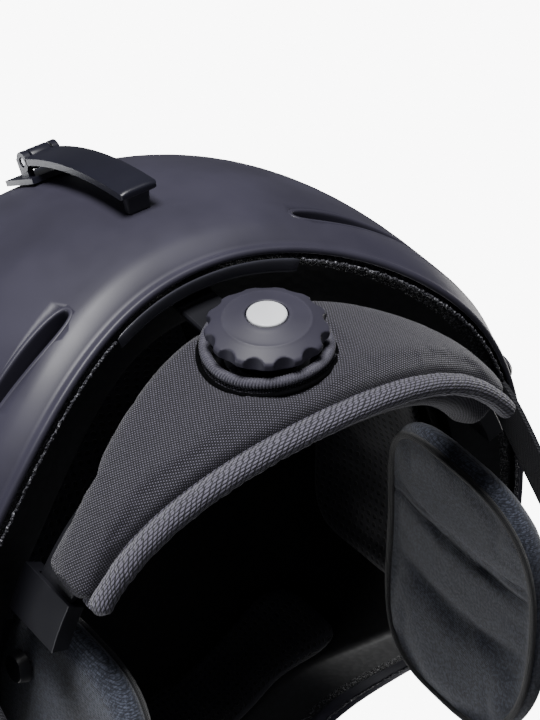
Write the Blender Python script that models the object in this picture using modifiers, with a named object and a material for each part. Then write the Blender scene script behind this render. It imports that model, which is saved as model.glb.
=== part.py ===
"""Ski helmet with a dial-adjusted fit band, a goggle-strap clip and a buckled chin strap.

Units are metres. +Z is up, +Y points to the back of the helmet and +X to the wearer's left.
The origin is the centre of the fit band, at the height of the dial's axis. Angles round the
helmet ("phi") are measured from the back, turning towards the wearer's left.
"""

from math import atan2, cos, degrees, pi, radians, sin, sqrt

import bmesh
import bpy
from mathutils import Matrix, Vector

MM = 0.001
GAP = 0.3 * MM                      # between touching pieces
CLEARANCE = 0.4 * MM                # round a strap or band in its slot

# Form of the helmet's outer skin
HALF_WIDTH = 110 * MM
REAR_LENGTH = 128 * MM              # from the form's centre to the back
FRONT_LENGTH = 136 * MM             # from the form's centre to the brow
CENTRE_Y = -28 * MM
WIDEST_Z = 38 * MM
CROWN_RISE = 128 * MM               # from the widest level to the crown
PLAN_POWER = 2.15
DOME_POWER = 2.2

# The shell's lower edge
REAR_RIM_Z = 32 * MM
SIDE_RIM_Z = 11 * MM
BROW_RIM_Z = 56 * MM
REAR_ARCH_END = 54                  # degrees
TEMPLE_START = 104                  # degrees
BROW_START = 148                    # degrees
RIM_TUCK = 3.5 * MM
RIM_TUCK_HEIGHT = 14 * MM
BRIM_FLARE = 5 * MM

SHELL_WALL = 2.0 * MM
LINER_WALL = 24 * MM
LINER_GAP = 1.0 * MM                # between shell and foam, over their facets
LINER_RECESS = 2 * MM               # from the shell's edge up to the foam
LINER_CHAMFER = 1.5 * MM
COMFORT_PAD = 4.5 * MM
PAD_STANDOFF = 1.3 * MM              # between comfort pad and foam, over their facets
AROUND = 40                         # facets round the helmet
FOAM_HALF_WIDTH = HALF_WIDTH - SHELL_WALL - LINER_WALL
HEAD_HALF_WIDTH = FOAM_HALF_WIDTH - PAD_STANDOFF - COMFORT_PAD

# Vents: angles from the back, levels, and slot heights at the two ends
VENTS = (
    ("rear", (20, 43), (40 * MM, 33 * MM), (7 * MM, 2.6 * MM)),
    ("crown", (38, 100), (112 * MM, 116 * MM), (8 * MM, 6 * MM)),
    ("brow", (150, 171), (92 * MM, 96 * MM), (6 * MM, 9 * MM)),
)

# Fit band, cradle and dial
BAND_SIDE_GAP = 4 * MM              # between the band and the foam at its sides
BAND_RADIUS = FOAM_HALF_WIDTH - BAND_SIDE_GAP
BAND_WALL = 1.6 * MM
BAND_HEIGHT = 15 * MM
BAND_END = 69                       # degrees
RACK_END = -13                      # degrees
RACK_START = 30                     # degrees
RACK_DEPTH = 4 * MM
PINION_RADIUS = 4.0 * MM
PINION_LENGTH = 2.4 * MM
PINION_TEETH = 10
TOOTH_DEPTH = 0.9 * MM
HOUSING_HALF_ANGLE = 19             # degrees
HOUSING_INNER = BAND_RADIUS - 3.4 * MM
HOUSING_OUTER = BAND_RADIUS + 5.2 * MM
HOUSING_HALF_HEIGHT = 12.5 * MM
STEM_HALF_WIDTH = 6.5 * MM
STEM_INNER = BAND_RADIUS + 2.2 * MM
STEM_OUTER = BAND_RADIUS + 4.4 * MM
STEM_TOP_Z = 52 * MM
GUIDE_START = 60.5                  # degrees
GUIDE_END = 71                      # degrees
DIAL_RADIUS = 17 * MM
DIAL_STANDOFF = 16 * MM             # from the band out to the dial's rim
DIAL_RIM_Y = BAND_RADIUS + DIAL_STANDOFF
DIAL_TOP_RISE = 5.0 * MM
DIAL_HUB_RADIUS = 8 * MM
DIAL_SHAFT_RADIUS = 3 * MM
DIAL_SCALLOPS = 13
SCALLOP_RADIUS = 3.6 * MM
CAP_RADIUS = 5.6 * MM
SCREW_BORE = 1.6 * MM                # radius through knob and pinion
SCREW_RADIUS = 1.25 * MM
PAD_OUTER_RADIUS = BAND_RADIUS + 9.5 * MM
PAD_INNER_RADIUS = BAND_RADIUS - 9 * MM
PAD_HALF_ANGLE = 57                 # degrees
PAD_TOP_Z = 21 * MM
PAD_TOP_DROP = 18 * MM
PAD_LOW_Z = -26 * MM
PAD_LOW_RISE = 9 * MM
BINDING_RADIUS = 3 * MM
DIAL_HOLE_RADIUS = 15.2 * MM
RING_TUBE_RADIUS = 1.5 * MM

# Goggle clip
CLIP_WIDTH = 12 * MM
CLIP_WALL = 3 * MM
CLIP_LIFT = 5.4 * MM                # strap space under the clip
CLIP_TIP_Z = 60 * MM
CLIP_HINGE_Z = 112 * MM
CLIP_PIN_RADIUS = 1.3 * MM
CLIP_BARREL_RADIUS = 3.2 * MM
CLIP_LUG_WIDTH = 2.4 * MM

# Ear pads and chin strap
EAR_PAD_WALL = 9 * MM
EAR_PAD_GAP = 2.2 * MM              # between ear pad and side pad
EAR_PAD_X = HEAD_HALF_WIDTH - EAR_PAD_GAP - EAR_PAD_WALL    # inner face
EAR_PAD_Y = -29 * MM
EAR_PAD_HALF_LENGTH = 51 * MM
EAR_PAD_TOP_Z = 30 * MM
EAR_PAD_DEPTH = 72 * MM
EAR_PAD_POWER = 3.2                 # how square its outline is
CHEEK_CURVE = 2.4                   # per metre, how the ear pads bend round the head
SNAP_SPACING = 60 * MM
SNAP_Z = 14 * MM
SNAP_HEIGHT = 3.6 * MM
STRAP_WIDTH = 14 * MM
STRAP_WALL = 1.6 * MM
DIVIDER_INSET = 18 * MM             # from the shell's widest place in to the divider
DIVIDER_X = HALF_WIDTH - DIVIDER_INSET
DIVIDER_Y = -40 * MM
DIVIDER_Z = -57 * MM
DIVIDER_WIDTH = 34 * MM
DIVIDER_HEIGHT = 12 * MM
DIVIDER_WALL = 5 * MM
CHIN_DROP = 51 * MM                 # from the dividers to the bottom of the strap
STRAP_POWER = 4                     # how square the hanging strap's U is
FRONT_ANCHOR_Y = -83 * MM
REAR_ANCHOR_Y = 18 * MM
ANCHOR_TOP_Z = 31 * MM
ANCHOR_INSET = 15.4 * MM            # from the shell's widest place in to the strap's end
ANCHOR_X = HALF_WIDTH - ANCHOR_INSET
RIVET_RADIUS = 4.6 * MM
RIVET_SHANK = 1.6 * MM
BUCKLE_X = -24 * MM                 # mouth of the socket half
BUCKLE_WIDTH = 24 * MM
BUCKLE_HEIGHT = 9 * MM

BLACK = (0.018, 0.018, 0.024)
CHARCOAL = (0.055, 0.052, 0.072)
FABRIC = (0.075, 0.068, 0.090)


# ---------------------------------------------------------------- scene and mesh helpers

def clear_scene():
    for obj in list(bpy.data.objects):
        bpy.data.objects.remove(obj, do_unlink=True)


def new_collection(name):
    group = bpy.data.collections.new(name)
    bpy.context.scene.collection.children.link(group)
    return group


def material(name, colour, roughness, metallic=0.0):
    made = bpy.data.materials.get(name)
    if made is None:
        made = bpy.data.materials.new(name)
        made.use_nodes = True
        shader = made.node_tree.nodes["Principled BSDF"]
        shader.inputs["Base Color"].default_value = (*colour, 1.0)
        shader.inputs["Roughness"].default_value = roughness
        shader.inputs["Metallic"].default_value = metallic
    return made


def new_object(name, bm, finish=None, outward=True):
    """Turn a bmesh into a named object in the parts collection, or in the cutters'."""
    if outward:
        bmesh.ops.recalc_face_normals(bm, faces=bm.faces)
    mesh = bpy.data.meshes.new(name)
    bm.to_mesh(mesh)
    bm.free()
    obj = bpy.data.objects.new(name, mesh)
    if finish is None:
        CUTTERS.objects.link(obj)
        obj.hide_render = True
        obj.display_type = "WIRE"
    else:
        PARTS.objects.link(obj)
        mesh.materials.append(finish)
        mesh.shade_smooth()
        mesh.set_sharp_from_angle(angle=radians(35))
    return obj


def hang(name, place, *pieces):
    """Parent moving pieces to an empty that stands on their joint's axis."""
    pivot = bpy.data.objects.new(name, None)
    pivot.empty_display_size = 10 * MM
    pivot.location = place
    PARTS.objects.link(pivot)
    for piece in pieces:
        piece.parent = pivot
        piece.matrix_parent_inverse = Matrix.Translation(-Vector(place))


def cut(target, cutter, operation="DIFFERENCE"):
    step = target.modifiers.new(cutter.name, "BOOLEAN")
    step.operation = operation
    step.object = cutter
    step.solver = "EXACT"


def join(target, *pieces):
    for piece in pieces:
        cut(target, piece, "UNION")


def bevel(obj, width, segments=1, angle=40):
    step = obj.modifiers.new("edges", "BEVEL")
    step.width = width
    step.segments = segments
    step.limit_method = "ANGLE"
    step.angle_limit = radians(angle)


def loft(name, rings, finish=None, closed=True):
    """Skin closed rings of equal length, capped at both ends, or joined end to end."""
    bm = bmesh.new()
    rows = [[bm.verts.new(p) for p in ring] for ring in rings]
    count = len(rows[0])
    for low, high in zip(rows, rows[1:]):
        for i in range(count):
            j = (i + 1) % count
            bm.faces.new((low[i], low[j], high[j], high[i]))
    if closed:
        bm.faces.new(rows[0][::-1])
        bm.faces.new(rows[-1])
    return new_object(name, bm, finish)


def box(name, low, high, finish=None, turn=None):
    """A box between two corners, turned about its own middle where a rotation is given."""
    low, high = Vector(low), Vector(high)
    bm = bmesh.new()
    bmesh.ops.create_cube(bm, size=1.0)
    middle = (low + high) / 2
    size = high - low
    place = Matrix.Translation(middle) @ (turn or Matrix()) @ Matrix.Diagonal((*size, 1))
    bmesh.ops.transform(bm, matrix=place, verts=bm.verts)
    return new_object(name, bm, finish)


def rod(name, start, end, radius, sides=16, finish=None, end_radius=None):
    """A cylinder or cone between two points."""
    start, end = Vector(start), Vector(end)
    bm = bmesh.new()
    top = radius if end_radius is None else end_radius
    run = end - start
    bmesh.ops.create_cone(bm, cap_ends=True, segments=sides, radius1=radius, radius2=top, depth=run.length)
    turn = run.to_track_quat("Z", "Y").to_matrix().to_4x4()
    bmesh.ops.transform(bm, matrix=Matrix.Translation((start + end) / 2) @ turn, verts=bm.verts)
    return new_object(name, bm, finish)


def turned(name, profile, sides, finish=None):
    """Turn a closed (radius, y) profile about the dial's axis, +Y."""
    rings = []
    for i in range(sides):
        turn = 2 * pi * i / sides
        rings.append([Vector((r * sin(turn), y, r * cos(turn))) for r, y in profile])
    bm = bmesh.new()
    rows = [[bm.verts.new(p) for p in ring] for ring in rings]
    for i in range(sides):
        low, high = rows[i], rows[(i + 1) % sides]
        for k in range(len(profile)):
            m = (k + 1) % len(profile)
            bm.faces.new((low[k], low[m], high[m], high[k]))
    bmesh.ops.remove_doubles(bm, verts=bm.verts, dist=0.00001)
    bmesh.ops.dissolve_degenerate(bm, edges=bm.edges, dist=0.00001)
    return new_object(name, bm, finish)


def polar(radius, phi, z):
    """A point on a circle about the fit band's axis; 0 degrees is the back."""
    turn = radians(phi)
    return Vector((radius * sin(turn), radius * cos(turn), z))


def arc_block(name, radii, angles, heights, finish=None, step=4.0):
    """A block bent round the fit band's axis: (inner, outer), (start, end), (low, high)."""
    (inner, outer), (start, end), (low, high) = radii, angles, heights
    count = max(2, round(abs(end - start) / step))
    rings = []
    for i in range(count + 1):
        angle = start + (end - start) * i / count
        corners = ((inner, low), (outer, low), (outer, high), (inner, high))
        rings.append([polar(r, angle, z) for r, z in corners])
    return loft(name, rings, finish)


def slab(name, outer, inner, finish, around=False):
    """Close two grids of points, row by row, into one solid."""
    bm = bmesh.new()
    skins = [[[bm.verts.new(p) for p in row] for row in grid] for grid in (outer, inner)]
    rows, columns = len(outer), len(outer[0])
    last = columns if around else columns - 1
    for skin in skins:
        for r in range(rows - 1):
            for c in range(last):
                d = (c + 1) % columns
                bm.faces.new((skin[r][c], skin[r][d], skin[r + 1][d], skin[r + 1][c]))
    a, b = skins
    for r in (0, rows - 1):
        for c in range(last):
            d = (c + 1) % columns
            bm.faces.new((a[r][c], a[r][d], b[r][d], b[r][c]))
    if not around:
        for c in (0, columns - 1):
            for r in range(rows - 1):
                bm.faces.new((a[r][c], a[r + 1][c], b[r + 1][c], b[r][c]))
    return new_object(name, bm, finish)


def ribbon(name, path, width, wall, finish=None, across=(0, 1, 0)):
    """A flat strip along a path, its width along one fixed direction."""
    across = Vector(across).normalized()
    path = [Vector(p) for p in path]
    rings = []
    for i, point in enumerate(path):
        ahead = path[min(i + 1, len(path) - 1)] - path[max(i - 1, 0)]
        normal = ahead.cross(across).normalized()
        half, thick = across * width / 2, normal * wall / 2
        under, over = point - thick, point + thick
        rings.append([under - half, under + half, over + half, over - half])
    return loft(name, rings, finish)


def smooth_step(value, start, end):
    t = min(1.0, max(0.0, (value - start) / (end - start)))
    return t * t * (3 - 2 * t)


# ---------------------------------------------------------------- the helmet's form

def fold(phi):
    """Angle from the back, 0 to 180, for any angle round the helmet."""
    return abs((phi + 180) % 360 - 180)


def rim_z(phi):
    """Height of the shell's lower edge: an arch at the nape, level at the ears, high at the brow."""
    angle = fold(phi)
    arch = cos(pi / 2 * min(1.0, angle / REAR_ARCH_END)) ** 2
    low = SIDE_RIM_Z + (REAR_RIM_Z - SIDE_RIM_Z) * arch
    return low + (BROW_RIM_Z - SIDE_RIM_Z) * smooth_step(angle, TEMPLE_START, BROW_START)


def rim_tuck(phi, rise):
    """How far the shell's edge turns in, or out at the brow, at a height above the rim."""
    left = max(0.0, 1 - rise / RIM_TUCK_HEIGHT) ** 2
    brow = smooth_step(fold(phi), TEMPLE_START, BROW_START)
    return left * (RIM_TUCK * (1 - brow) - BRIM_FLARE * brow)


def form_point(phi, z, inset=0.0):
    """A point of the helmet's form, inset from the outer skin, at an angle and a height."""
    c, s = cos(radians(phi)), sin(radians(phi))
    rise = min(1.0, max(0.0, z - WIDEST_Z) / (CROWN_RISE - inset))
    scale = (1 - rise ** DOME_POWER) ** (1 / DOME_POWER)
    length = REAR_LENGTH if c > 0 else FRONT_LENGTH
    k = (abs(c) ** PLAN_POWER + abs(s) ** PLAN_POWER) ** (-1 / PLAN_POWER)
    return Vector(((HALF_WIDTH - inset) * scale * k * s, CENTRE_Y + (length - inset) * scale * k * c, z))


def form_angle(y, z):
    """Angle on the left side at which the form's skin has this y at this height, by halving."""
    low, high = 0.0, 180.0
    for _ in range(40):
        middle = (low + high) / 2
        if form_point(middle, z).y > y:
            low = middle
        else:
            high = middle
    return low


def form_normal(phi, z):
    """Outward direction of the form at a point."""
    along = form_point(phi + 1, z) - form_point(phi - 1, z)
    up = form_point(phi, z + MM) - form_point(phi, z - MM)
    return up.cross(along).normalized()


def heights(low, top, edge_steps, count):
    """Levels from an edge to the crown: fine above the edge, then even along the dome."""
    start = low + edge_steps[-1]
    dome = [start + (top - start) * sin(pi / 2 * i / count) for i in range(1, count)]
    return [low + step for step in edge_steps] + dome


def form_grid(inset, lift, edge_steps, count, tucked):
    """Rings of points from the rim to just short of the crown, and the crown's height."""
    top = WIDEST_Z + CROWN_RISE - inset
    angles = [360 * i / AROUND for i in range(AROUND)]
    columns = []
    for angle in angles:
        low = rim_z(angle) + lift
        column = []
        for z in heights(low, top, edge_steps, count):
            tuck = rim_tuck(angle, z - rim_z(angle)) if tucked else 0.0
            column.append(form_point(angle, z, inset + tuck))
        columns.append(column)
    return [list(ring) for ring in zip(*columns)], top


def domed(bm, rings, top):
    """Skin rings into a dome that closes on one crown point; returns the rows of vertices."""
    rows = [[bm.verts.new(p) for p in ring] for ring in rings]
    for low, high in zip(rows, rows[1:]):
        for i in range(AROUND):
            j = (i + 1) % AROUND
            bm.faces.new((low[i], low[j], high[j], high[i]))
    crown = bm.verts.new((0, CENTRE_Y, top))
    for i in range(AROUND):
        bm.faces.new((rows[-1][i], rows[-1][(i + 1) % AROUND], crown))
    return rows


def make_outer_shell():
    rings, top = form_grid(0.0, 0.0, (0, 4 * MM, 9 * MM, 15 * MM), 9, tucked=True)
    bm = bmesh.new()
    domed(bm, rings, top)
    shell = new_object("outer_shell", bm, material("shell_plastic", CHARCOAL, 0.42))
    wall = shell.modifiers.new("wall", "SOLIDIFY")
    wall.thickness = SHELL_WALL
    wall.offset = -1
    return shell


def make_foam_liner():
    inset = SHELL_WALL + LINER_GAP
    outer, outer_top = form_grid(inset, LINER_RECESS + LINER_CHAMFER, (0, 9 * MM), 8, tucked=True)
    inner, inner_top = form_grid(SHELL_WALL + LINER_WALL, LINER_RECESS, (0, 9 * MM), 7, tucked=False)
    bm = bmesh.new()
    outside = domed(bm, outer, outer_top)
    inside = domed(bm, inner, inner_top)
    edge = []
    for i in range(AROUND):
        angle = 360 * i / AROUND
        z = rim_z(angle) + LINER_RECESS
        depth = inset + rim_tuck(angle, LINER_RECESS) + LINER_CHAMFER
        edge.append(bm.verts.new(form_point(angle, z, depth)))
    for i in range(AROUND):
        j = (i + 1) % AROUND
        bm.faces.new((outside[0][i], outside[0][j], edge[j], edge[i]))
        bm.faces.new((edge[i], edge[j], inside[0][j], inside[0][i]))
    bmesh.ops.triangulate(bm, faces=bm.faces)
    return new_object("foam_liner", bm, material("liner_foam", BLACK, 0.85))


def vent_cutter(name, side, angles, levels, openings, count=6):
    """A tapered slot through shell and foam, between two angles, levels and slot heights."""
    rings = []
    for i in range(count + 1):
        t = i / count
        angle = side * (angles[0] + (angles[1] - angles[0]) * t)
        z = levels[0] + (levels[1] - levels[0]) * t
        half = (openings[0] + (openings[1] - openings[0]) * t) / 2
        reach = form_normal(angle, z)
        up = (form_point(angle, z + half) - form_point(angle, z - half)).normalized() * half
        middle = form_point(angle, z)
        out = middle + reach * 8 * MM
        back = middle - reach * (SHELL_WALL + LINER_WALL + 12 * MM)
        rings.append([out - up, out + up, back + up, back - up])
    return loft(name, rings)


def cut_vents(shell, liner):
    for side, word in ((1, "left"), (-1, "right")):
        for place, angles, levels, openings in VENTS:
            vent = vent_cutter(f"{place}_vent_{word}", side, angles, levels, openings)
            cut(shell, vent)
            cut(liner, vent)


def make_rear_insert():
    """Smooth trim set in the foam's lower edge at the nape, between the rear vents."""
    rings = []
    for i in range(9):
        angle = -17 + 34 * i / 8
        low = rim_z(angle) + 0.4 * MM
        high = low + 1.2 * MM
        near = SHELL_WALL + LINER_GAP + RIM_TUCK + 1.2 * MM
        far = near + 5.3 * MM
        section = ((near, low), (far, low - 0.3 * MM), (far, high), (near, high))
        rings.append([form_point(angle, z, depth) for depth, z in section])
    return loft("rear_edge_insert", rings, material("trim_plastic", BLACK, 0.25))


# ---------------------------------------------------------------- comfort padding

def lining_patch(name, angles, levels, finish, columns=10, rows=4):
    """A pad that lies on the foam's inner face, between two angles and two heights."""
    near = SHELL_WALL + LINER_WALL + PAD_STANDOFF
    outer, inner = [], []
    for r in range(rows + 1):
        out_row, in_row = [], []
        for c in range(columns + 1):
            angle = angles[0] + (angles[1] - angles[0]) * c / columns
            low, high = (level(angle) if callable(level) else level for level in levels)
            z = low + (high - low) * r / rows
            out_row.append(form_point(angle, z, near))
            in_row.append(form_point(angle, z, near + COMFORT_PAD))
        outer.append(out_row)
        inner.append(in_row)
    return slab(name, outer, inner, finish)


def make_crown_pad(finish):
    near = SHELL_WALL + LINER_WALL + PAD_STANDOFF
    levels = (118 * MM, 126 * MM, 132 * MM)
    bm = bmesh.new()
    skins = []
    for inset in (near, near + COMFORT_PAD):
        top = WIDEST_Z + CROWN_RISE - inset
        rise = [z - (inset - near) for z in levels]
        rows = [[form_point(360 * i / AROUND, z, inset) for i in range(AROUND)] for z in rise]
        skins.append(domed(bm, rows, top))
    for i in range(AROUND):
        j = (i + 1) % AROUND
        bm.faces.new((skins[0][0][i], skins[0][0][j], skins[1][0][j], skins[1][0][i]))
    return new_object("crown_pad", bm, finish)


def make_comfort_pads():
    finish = material("lining_mesh", BLACK, 0.9)
    make_crown_pad(finish)
    lining_patch("brow_pad", (128, 232), (lambda a: rim_z(a) + 5 * MM, 84 * MM), finish, columns=12)
    lining_patch("rear_pad", (-34, 34), (46 * MM, 86 * MM), finish, columns=8)
    for side, word in ((1, "left"), (-1, "right")):
        lining_patch(f"side_pad_{word}", (side * 48, side * 112), (28 * MM, 78 * MM), finish)


# ---------------------------------------------------------------- nape pad and dial

def pad_arch(phi):
    return sin(pi / 2 * min(1.0, abs(phi) / PAD_HALF_ANGLE)) ** 2


def pad_top(phi):
    return PAD_TOP_Z - PAD_TOP_DROP * pad_arch(phi)


def pad_low(phi):
    return PAD_LOW_Z + PAD_LOW_RISE * pad_arch(phi)


def make_nape_pad():
    """Crescent cushion round the nape, with a channel for the bands and a seat for the dial's housing."""
    rings = []
    for i in range(21):
        angle = -PAD_HALF_ANGLE + 2 * PAD_HALF_ANGLE * i / 20
        low, top = pad_low(angle), pad_top(angle)
        out, near = PAD_OUTER_RADIUS, PAD_INNER_RADIUS
        section = (
            (out - 2 * MM, low + 0.5 * MM), (out - 0.3 * MM, low + 5 * MM), (out, (low + top) / 2),
            (out - 0.5 * MM, top - 7 * MM), (out - 4 * MM, top - 2 * MM), (out - 10 * MM, top),
            (near + 3 * MM, top - 1 * MM), (near, top - 6 * MM), (near, low + 6 * MM), (near + 4 * MM, low),
        )
        rings.append([polar(r, angle, z) for r, z in section])
    pad = loft("nape_pad", rings, material("pad_fabric", FABRIC, 0.9))
    half = BAND_HEIGHT / 2 + 2 * CLEARANCE
    reach = BAND_WALL / 2 + 2 * CLEARANCE
    ends = (-PAD_HALF_ANGLE - 3, PAD_HALF_ANGLE + 3)
    channel = arc_block("band_channel", (BAND_RADIUS - reach, BAND_RADIUS + reach), ends, (-half, half))
    grow = 2 * CLEARANCE
    radii = (HOUSING_INNER - grow, HOUSING_OUTER + grow)
    side = HOUSING_HALF_ANGLE + 1
    tall = HOUSING_HALF_HEIGHT + grow
    seat = arc_block("housing_seat", radii, (-side, side), (-tall, tall))
    mouth = rod("dial_mouth", (0, BAND_RADIUS, 0), (0, BAND_RADIUS + 40 * MM, 0), DIAL_HOLE_RADIUS, 28)
    stem_low = (-STEM_HALF_WIDTH - 1.5 * MM, STEM_INNER - 0.7 * MM, 0)
    stem_high = (STEM_HALF_WIDTH + 1.5 * MM, STEM_OUTER + 0.8 * MM, 60 * MM)
    stem_way = box("stem_way", stem_low, stem_high)
    screw_way = rod("screw_way", (0, BAND_RADIUS - 20 * MM, 0), (0, BAND_RADIUS, 0), 4 * MM, 12)
    for cutter in (channel, seat, mouth, stem_way, screw_way):
        cut(pad, cutter)
    return pad


def tube(name, points, radius, finish, closed=False, sides=2):
    """A round tube along points, made a plain mesh with its caps welded."""
    curve = bpy.data.curves.new(name, "CURVE")
    curve.dimensions = "3D"
    curve.bevel_depth = radius
    curve.bevel_resolution = sides
    curve.render_resolution_u = 0
    curve.use_fill_caps = not closed
    line = curve.splines.new("POLY")
    line.points.add(len(points) - 1)
    for slot, point in zip(line.points, points):
        slot.co = (*point, 1)
    line.use_cyclic_u = closed
    holder = bpy.data.objects.new(name + "_path", curve)
    bpy.context.scene.collection.objects.link(holder)
    seen = holder.evaluated_get(bpy.context.evaluated_depsgraph_get())
    mesh = bpy.data.meshes.new_from_object(seen)
    bpy.data.objects.remove(holder, do_unlink=True)
    bm = bmesh.new()
    bm.from_mesh(mesh)
    bpy.data.meshes.remove(mesh)
    bmesh.ops.remove_doubles(bm, verts=bm.verts, dist=0.00001)
    return new_object(name, bm, finish)


def make_pad_edges():
    """The knitted binding along the pad's lower edge and the stitched ring round the dial's hole."""
    drop = BINDING_RADIUS + 2 * GAP
    edge = []
    for i in range(33):
        angle = -PAD_HALF_ANGLE + 2 * PAD_HALF_ANGLE * i / 32
        edge.append(polar(PAD_OUTER_RADIUS - 6 * MM, angle, pad_low(angle) - drop))
    tube("nape_binding", edge, BINDING_RADIUS, material("binding_knit", FABRIC, 0.85))
    ring = []
    major = DIAL_HOLE_RADIUS + RING_TUBE_RADIUS + 0.2 * MM
    over = PAD_OUTER_RADIUS + RING_TUBE_RADIUS + 2 * GAP
    for i in range(32):
        turn = 2 * pi * i / 32
        x = major * sin(turn)
        ring.append((x, sqrt(over ** 2 - x ** 2), major * cos(turn)))
    tube("dial_ring", ring, RING_TUBE_RADIUS, material("ring_thread", FABRIC, 0.9), closed=True)


def make_dial():
    soft = material("dial_plastic", (0.085, 0.08, 0.105), 0.5)
    rim, top = DIAL_RIM_Y, DIAL_RIM_Y + DIAL_TOP_RISE
    start = BAND_RADIUS + PINION_LENGTH / 2 + GAP
    hub = HOUSING_OUTER + 2 * GAP
    bore, pocket = SCREW_BORE, CAP_RADIUS + GAP
    profile = (
        (bore, start), (DIAL_SHAFT_RADIUS, start), (DIAL_SHAFT_RADIUS, hub), (DIAL_HUB_RADIUS, hub),
        (DIAL_HUB_RADIUS, rim - 5 * MM), (DIAL_RADIUS * 0.8, rim - 3 * MM), (DIAL_RADIUS, rim - 0.4 * MM),
        (DIAL_RADIUS, rim + 0.5 * MM), (DIAL_RADIUS * 0.86, rim + 2.2 * MM),
        (DIAL_RADIUS * 0.73, top - 1.3 * MM), (DIAL_RADIUS * 0.68, top - 0.9 * MM),
        (pocket + 0.4 * MM, top), (pocket, top - 0.2 * MM), (pocket, top - 1.6 * MM), (bore, top - 1.6 * MM),
    )
    knob = turned("dial_knob", profile, 3 * DIAL_SCALLOPS, soft)
    for i in range(DIAL_SCALLOPS):
        turn = 2 * pi * (i + 0.5) / DIAL_SCALLOPS + pi
        out = DIAL_RADIUS + SCALLOP_RADIUS * 0.52
        x, z = out * sin(turn), out * cos(turn)
        cut(knob, rod(f"scallop_{i + 1}", (x, rim - 6 * MM, z), (x, rim + 6 * MM, z), SCALLOP_RADIUS, 12))
    under = top - 1.3 * MM
    face = ((0, under), (CAP_RADIUS, under), (CAP_RADIUS, top + 0.1 * MM), (0, top + 0.35 * MM))
    turned("dial_cap", face, 26, material("cap_white", (0.8, 0.81, 0.84), 0.35))
    make_pinion()
    make_dial_screw()


def make_pinion():
    low, high = BAND_RADIUS - PINION_LENGTH / 2, BAND_RADIUS + PINION_LENGTH / 2
    rings = []
    for y in (low, high):
        ring = []
        for i in range(4 * PINION_TEETH):
            turn = 2 * pi * (i - 0.5) / (4 * PINION_TEETH)
            radius = PINION_RADIUS if i % 4 in (0, 1) else PINION_RADIUS - TOOTH_DEPTH
            ring.append(Vector((radius * sin(turn), y, radius * cos(turn))))
        rings.append(ring)
    pinion = loft("dial_pinion", rings, material("gear_nylon", (0.75, 0.74, 0.7), 0.45))
    cut(pinion, rod("pinion_bore", (0, low - MM, 0), (0, high + MM, 0), SCREW_BORE, 12))


def make_dial_screw():
    """Screw from the head side that clamps the pinion to the knob's shaft."""
    inner = HOUSING_INNER
    steel = material("screw_steel", (0.6, 0.6, 0.62), 0.3, 1.0)
    end = DIAL_RIM_Y
    shank = SCREW_RADIUS
    head = 3 * MM
    profile = ((0, inner - 2.4 * MM), (head, inner - 2.2 * MM), (head, inner - GAP), (shank, inner - GAP),
               (shank, end), (0, end))
    screw = turned("dial_screw", profile, 14, steel)
    low, high = (-2 * MM, inner - 3 * MM, -0.4 * MM), (2 * MM, inner - 1.3 * MM, 0.4 * MM)
    for turn in (0, 90):
        cut(screw, box(f"screw_slot_{turn}", low, high, turn=Matrix.Rotation(radians(turn), 4, "Y")))


def make_housing():
    """Housing that guides both racks past the pinion, its stem and the click ring."""
    plastic = material("housing_plastic", BLACK, 0.5)
    side, tall = HOUSING_HALF_ANGLE, HOUSING_HALF_HEIGHT
    radii = (HOUSING_INNER, HOUSING_OUTER)
    housing = arc_block("dial_housing", radii, (-side, side), (-tall, tall), plastic)
    reach = BAND_WALL / 2 + 1.5 * CLEARANCE
    half = BAND_HEIGHT / 2 + 2 * CLEARANCE
    radii = (BAND_RADIUS - reach, BAND_RADIUS + reach)
    cut(housing, arc_block("rack_way", radii, (-side - 3, side + 3), (-half, half)))
    shaft = DIAL_SHAFT_RADIUS + CLEARANCE
    cut(housing, rod("shaft_bore", (0, BAND_RADIUS, 0), (0, BAND_RADIUS + 20 * MM, 0), shaft, 20))
    middle = (0, BAND_RADIUS, 0)
    cut(housing, rod("screw_bore", (0, BAND_RADIUS - 20 * MM, 0), middle, SCREW_RADIUS + CLEARANCE, 12))
    low = HOUSING_HALF_HEIGHT + GAP
    stem = box("cradle_stem", (-STEM_HALF_WIDTH, STEM_INNER, low),
               (STEM_HALF_WIDTH, STEM_OUTER, STEM_TOP_Z), plastic)
    bevel(stem, 0.6 * MM)
    floor = HOUSING_OUTER + GAP
    near, far, face = 9.2 * MM, 11.8 * MM, floor + 0.9 * MM
    ring = ((near, floor), (far, floor), (far, face), (near, face))
    turned("click_ring", ring, 28, material("spring_steel", (0.5, 0.5, 0.52), 0.35, 1.0))


def make_band(side, word):
    """One half of the fit band: a strap round the side and a toothed arm past the pinion."""
    nylon = material("band_nylon", BLACK, 0.45)
    radii = (BAND_RADIUS - BAND_WALL / 2, BAND_RADIUS + BAND_WALL / 2)
    half = BAND_HEIGHT / 2
    band = arc_block(f"{word}_band", radii, (side * RACK_START, side * BAND_END), (-half, half), nylon, 5)
    near = PINION_RADIUS + GAP
    flip = side
    pitch = 360 * PINION_RADIUS / (PINION_TEETH * BAND_RADIUS)
    start, end = RACK_END, RACK_START + 2
    count = int((end - start) / (pitch / 2))
    rings = []
    for i in range(count + 1):
        angle = start + (end - start) * i / count
        root = near + (TOOTH_DEPTH if i % 2 else 0.0)
        zs = (root, half)
        corners = ((radii[0], zs[0]), (radii[1], zs[0]), (radii[1], zs[1]), (radii[0], zs[1]))
        rings.append([polar(r, side * angle, flip * z) for r, z in corners])
    join(band, loft(f"{word}_rack", rings))
    return band


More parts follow.
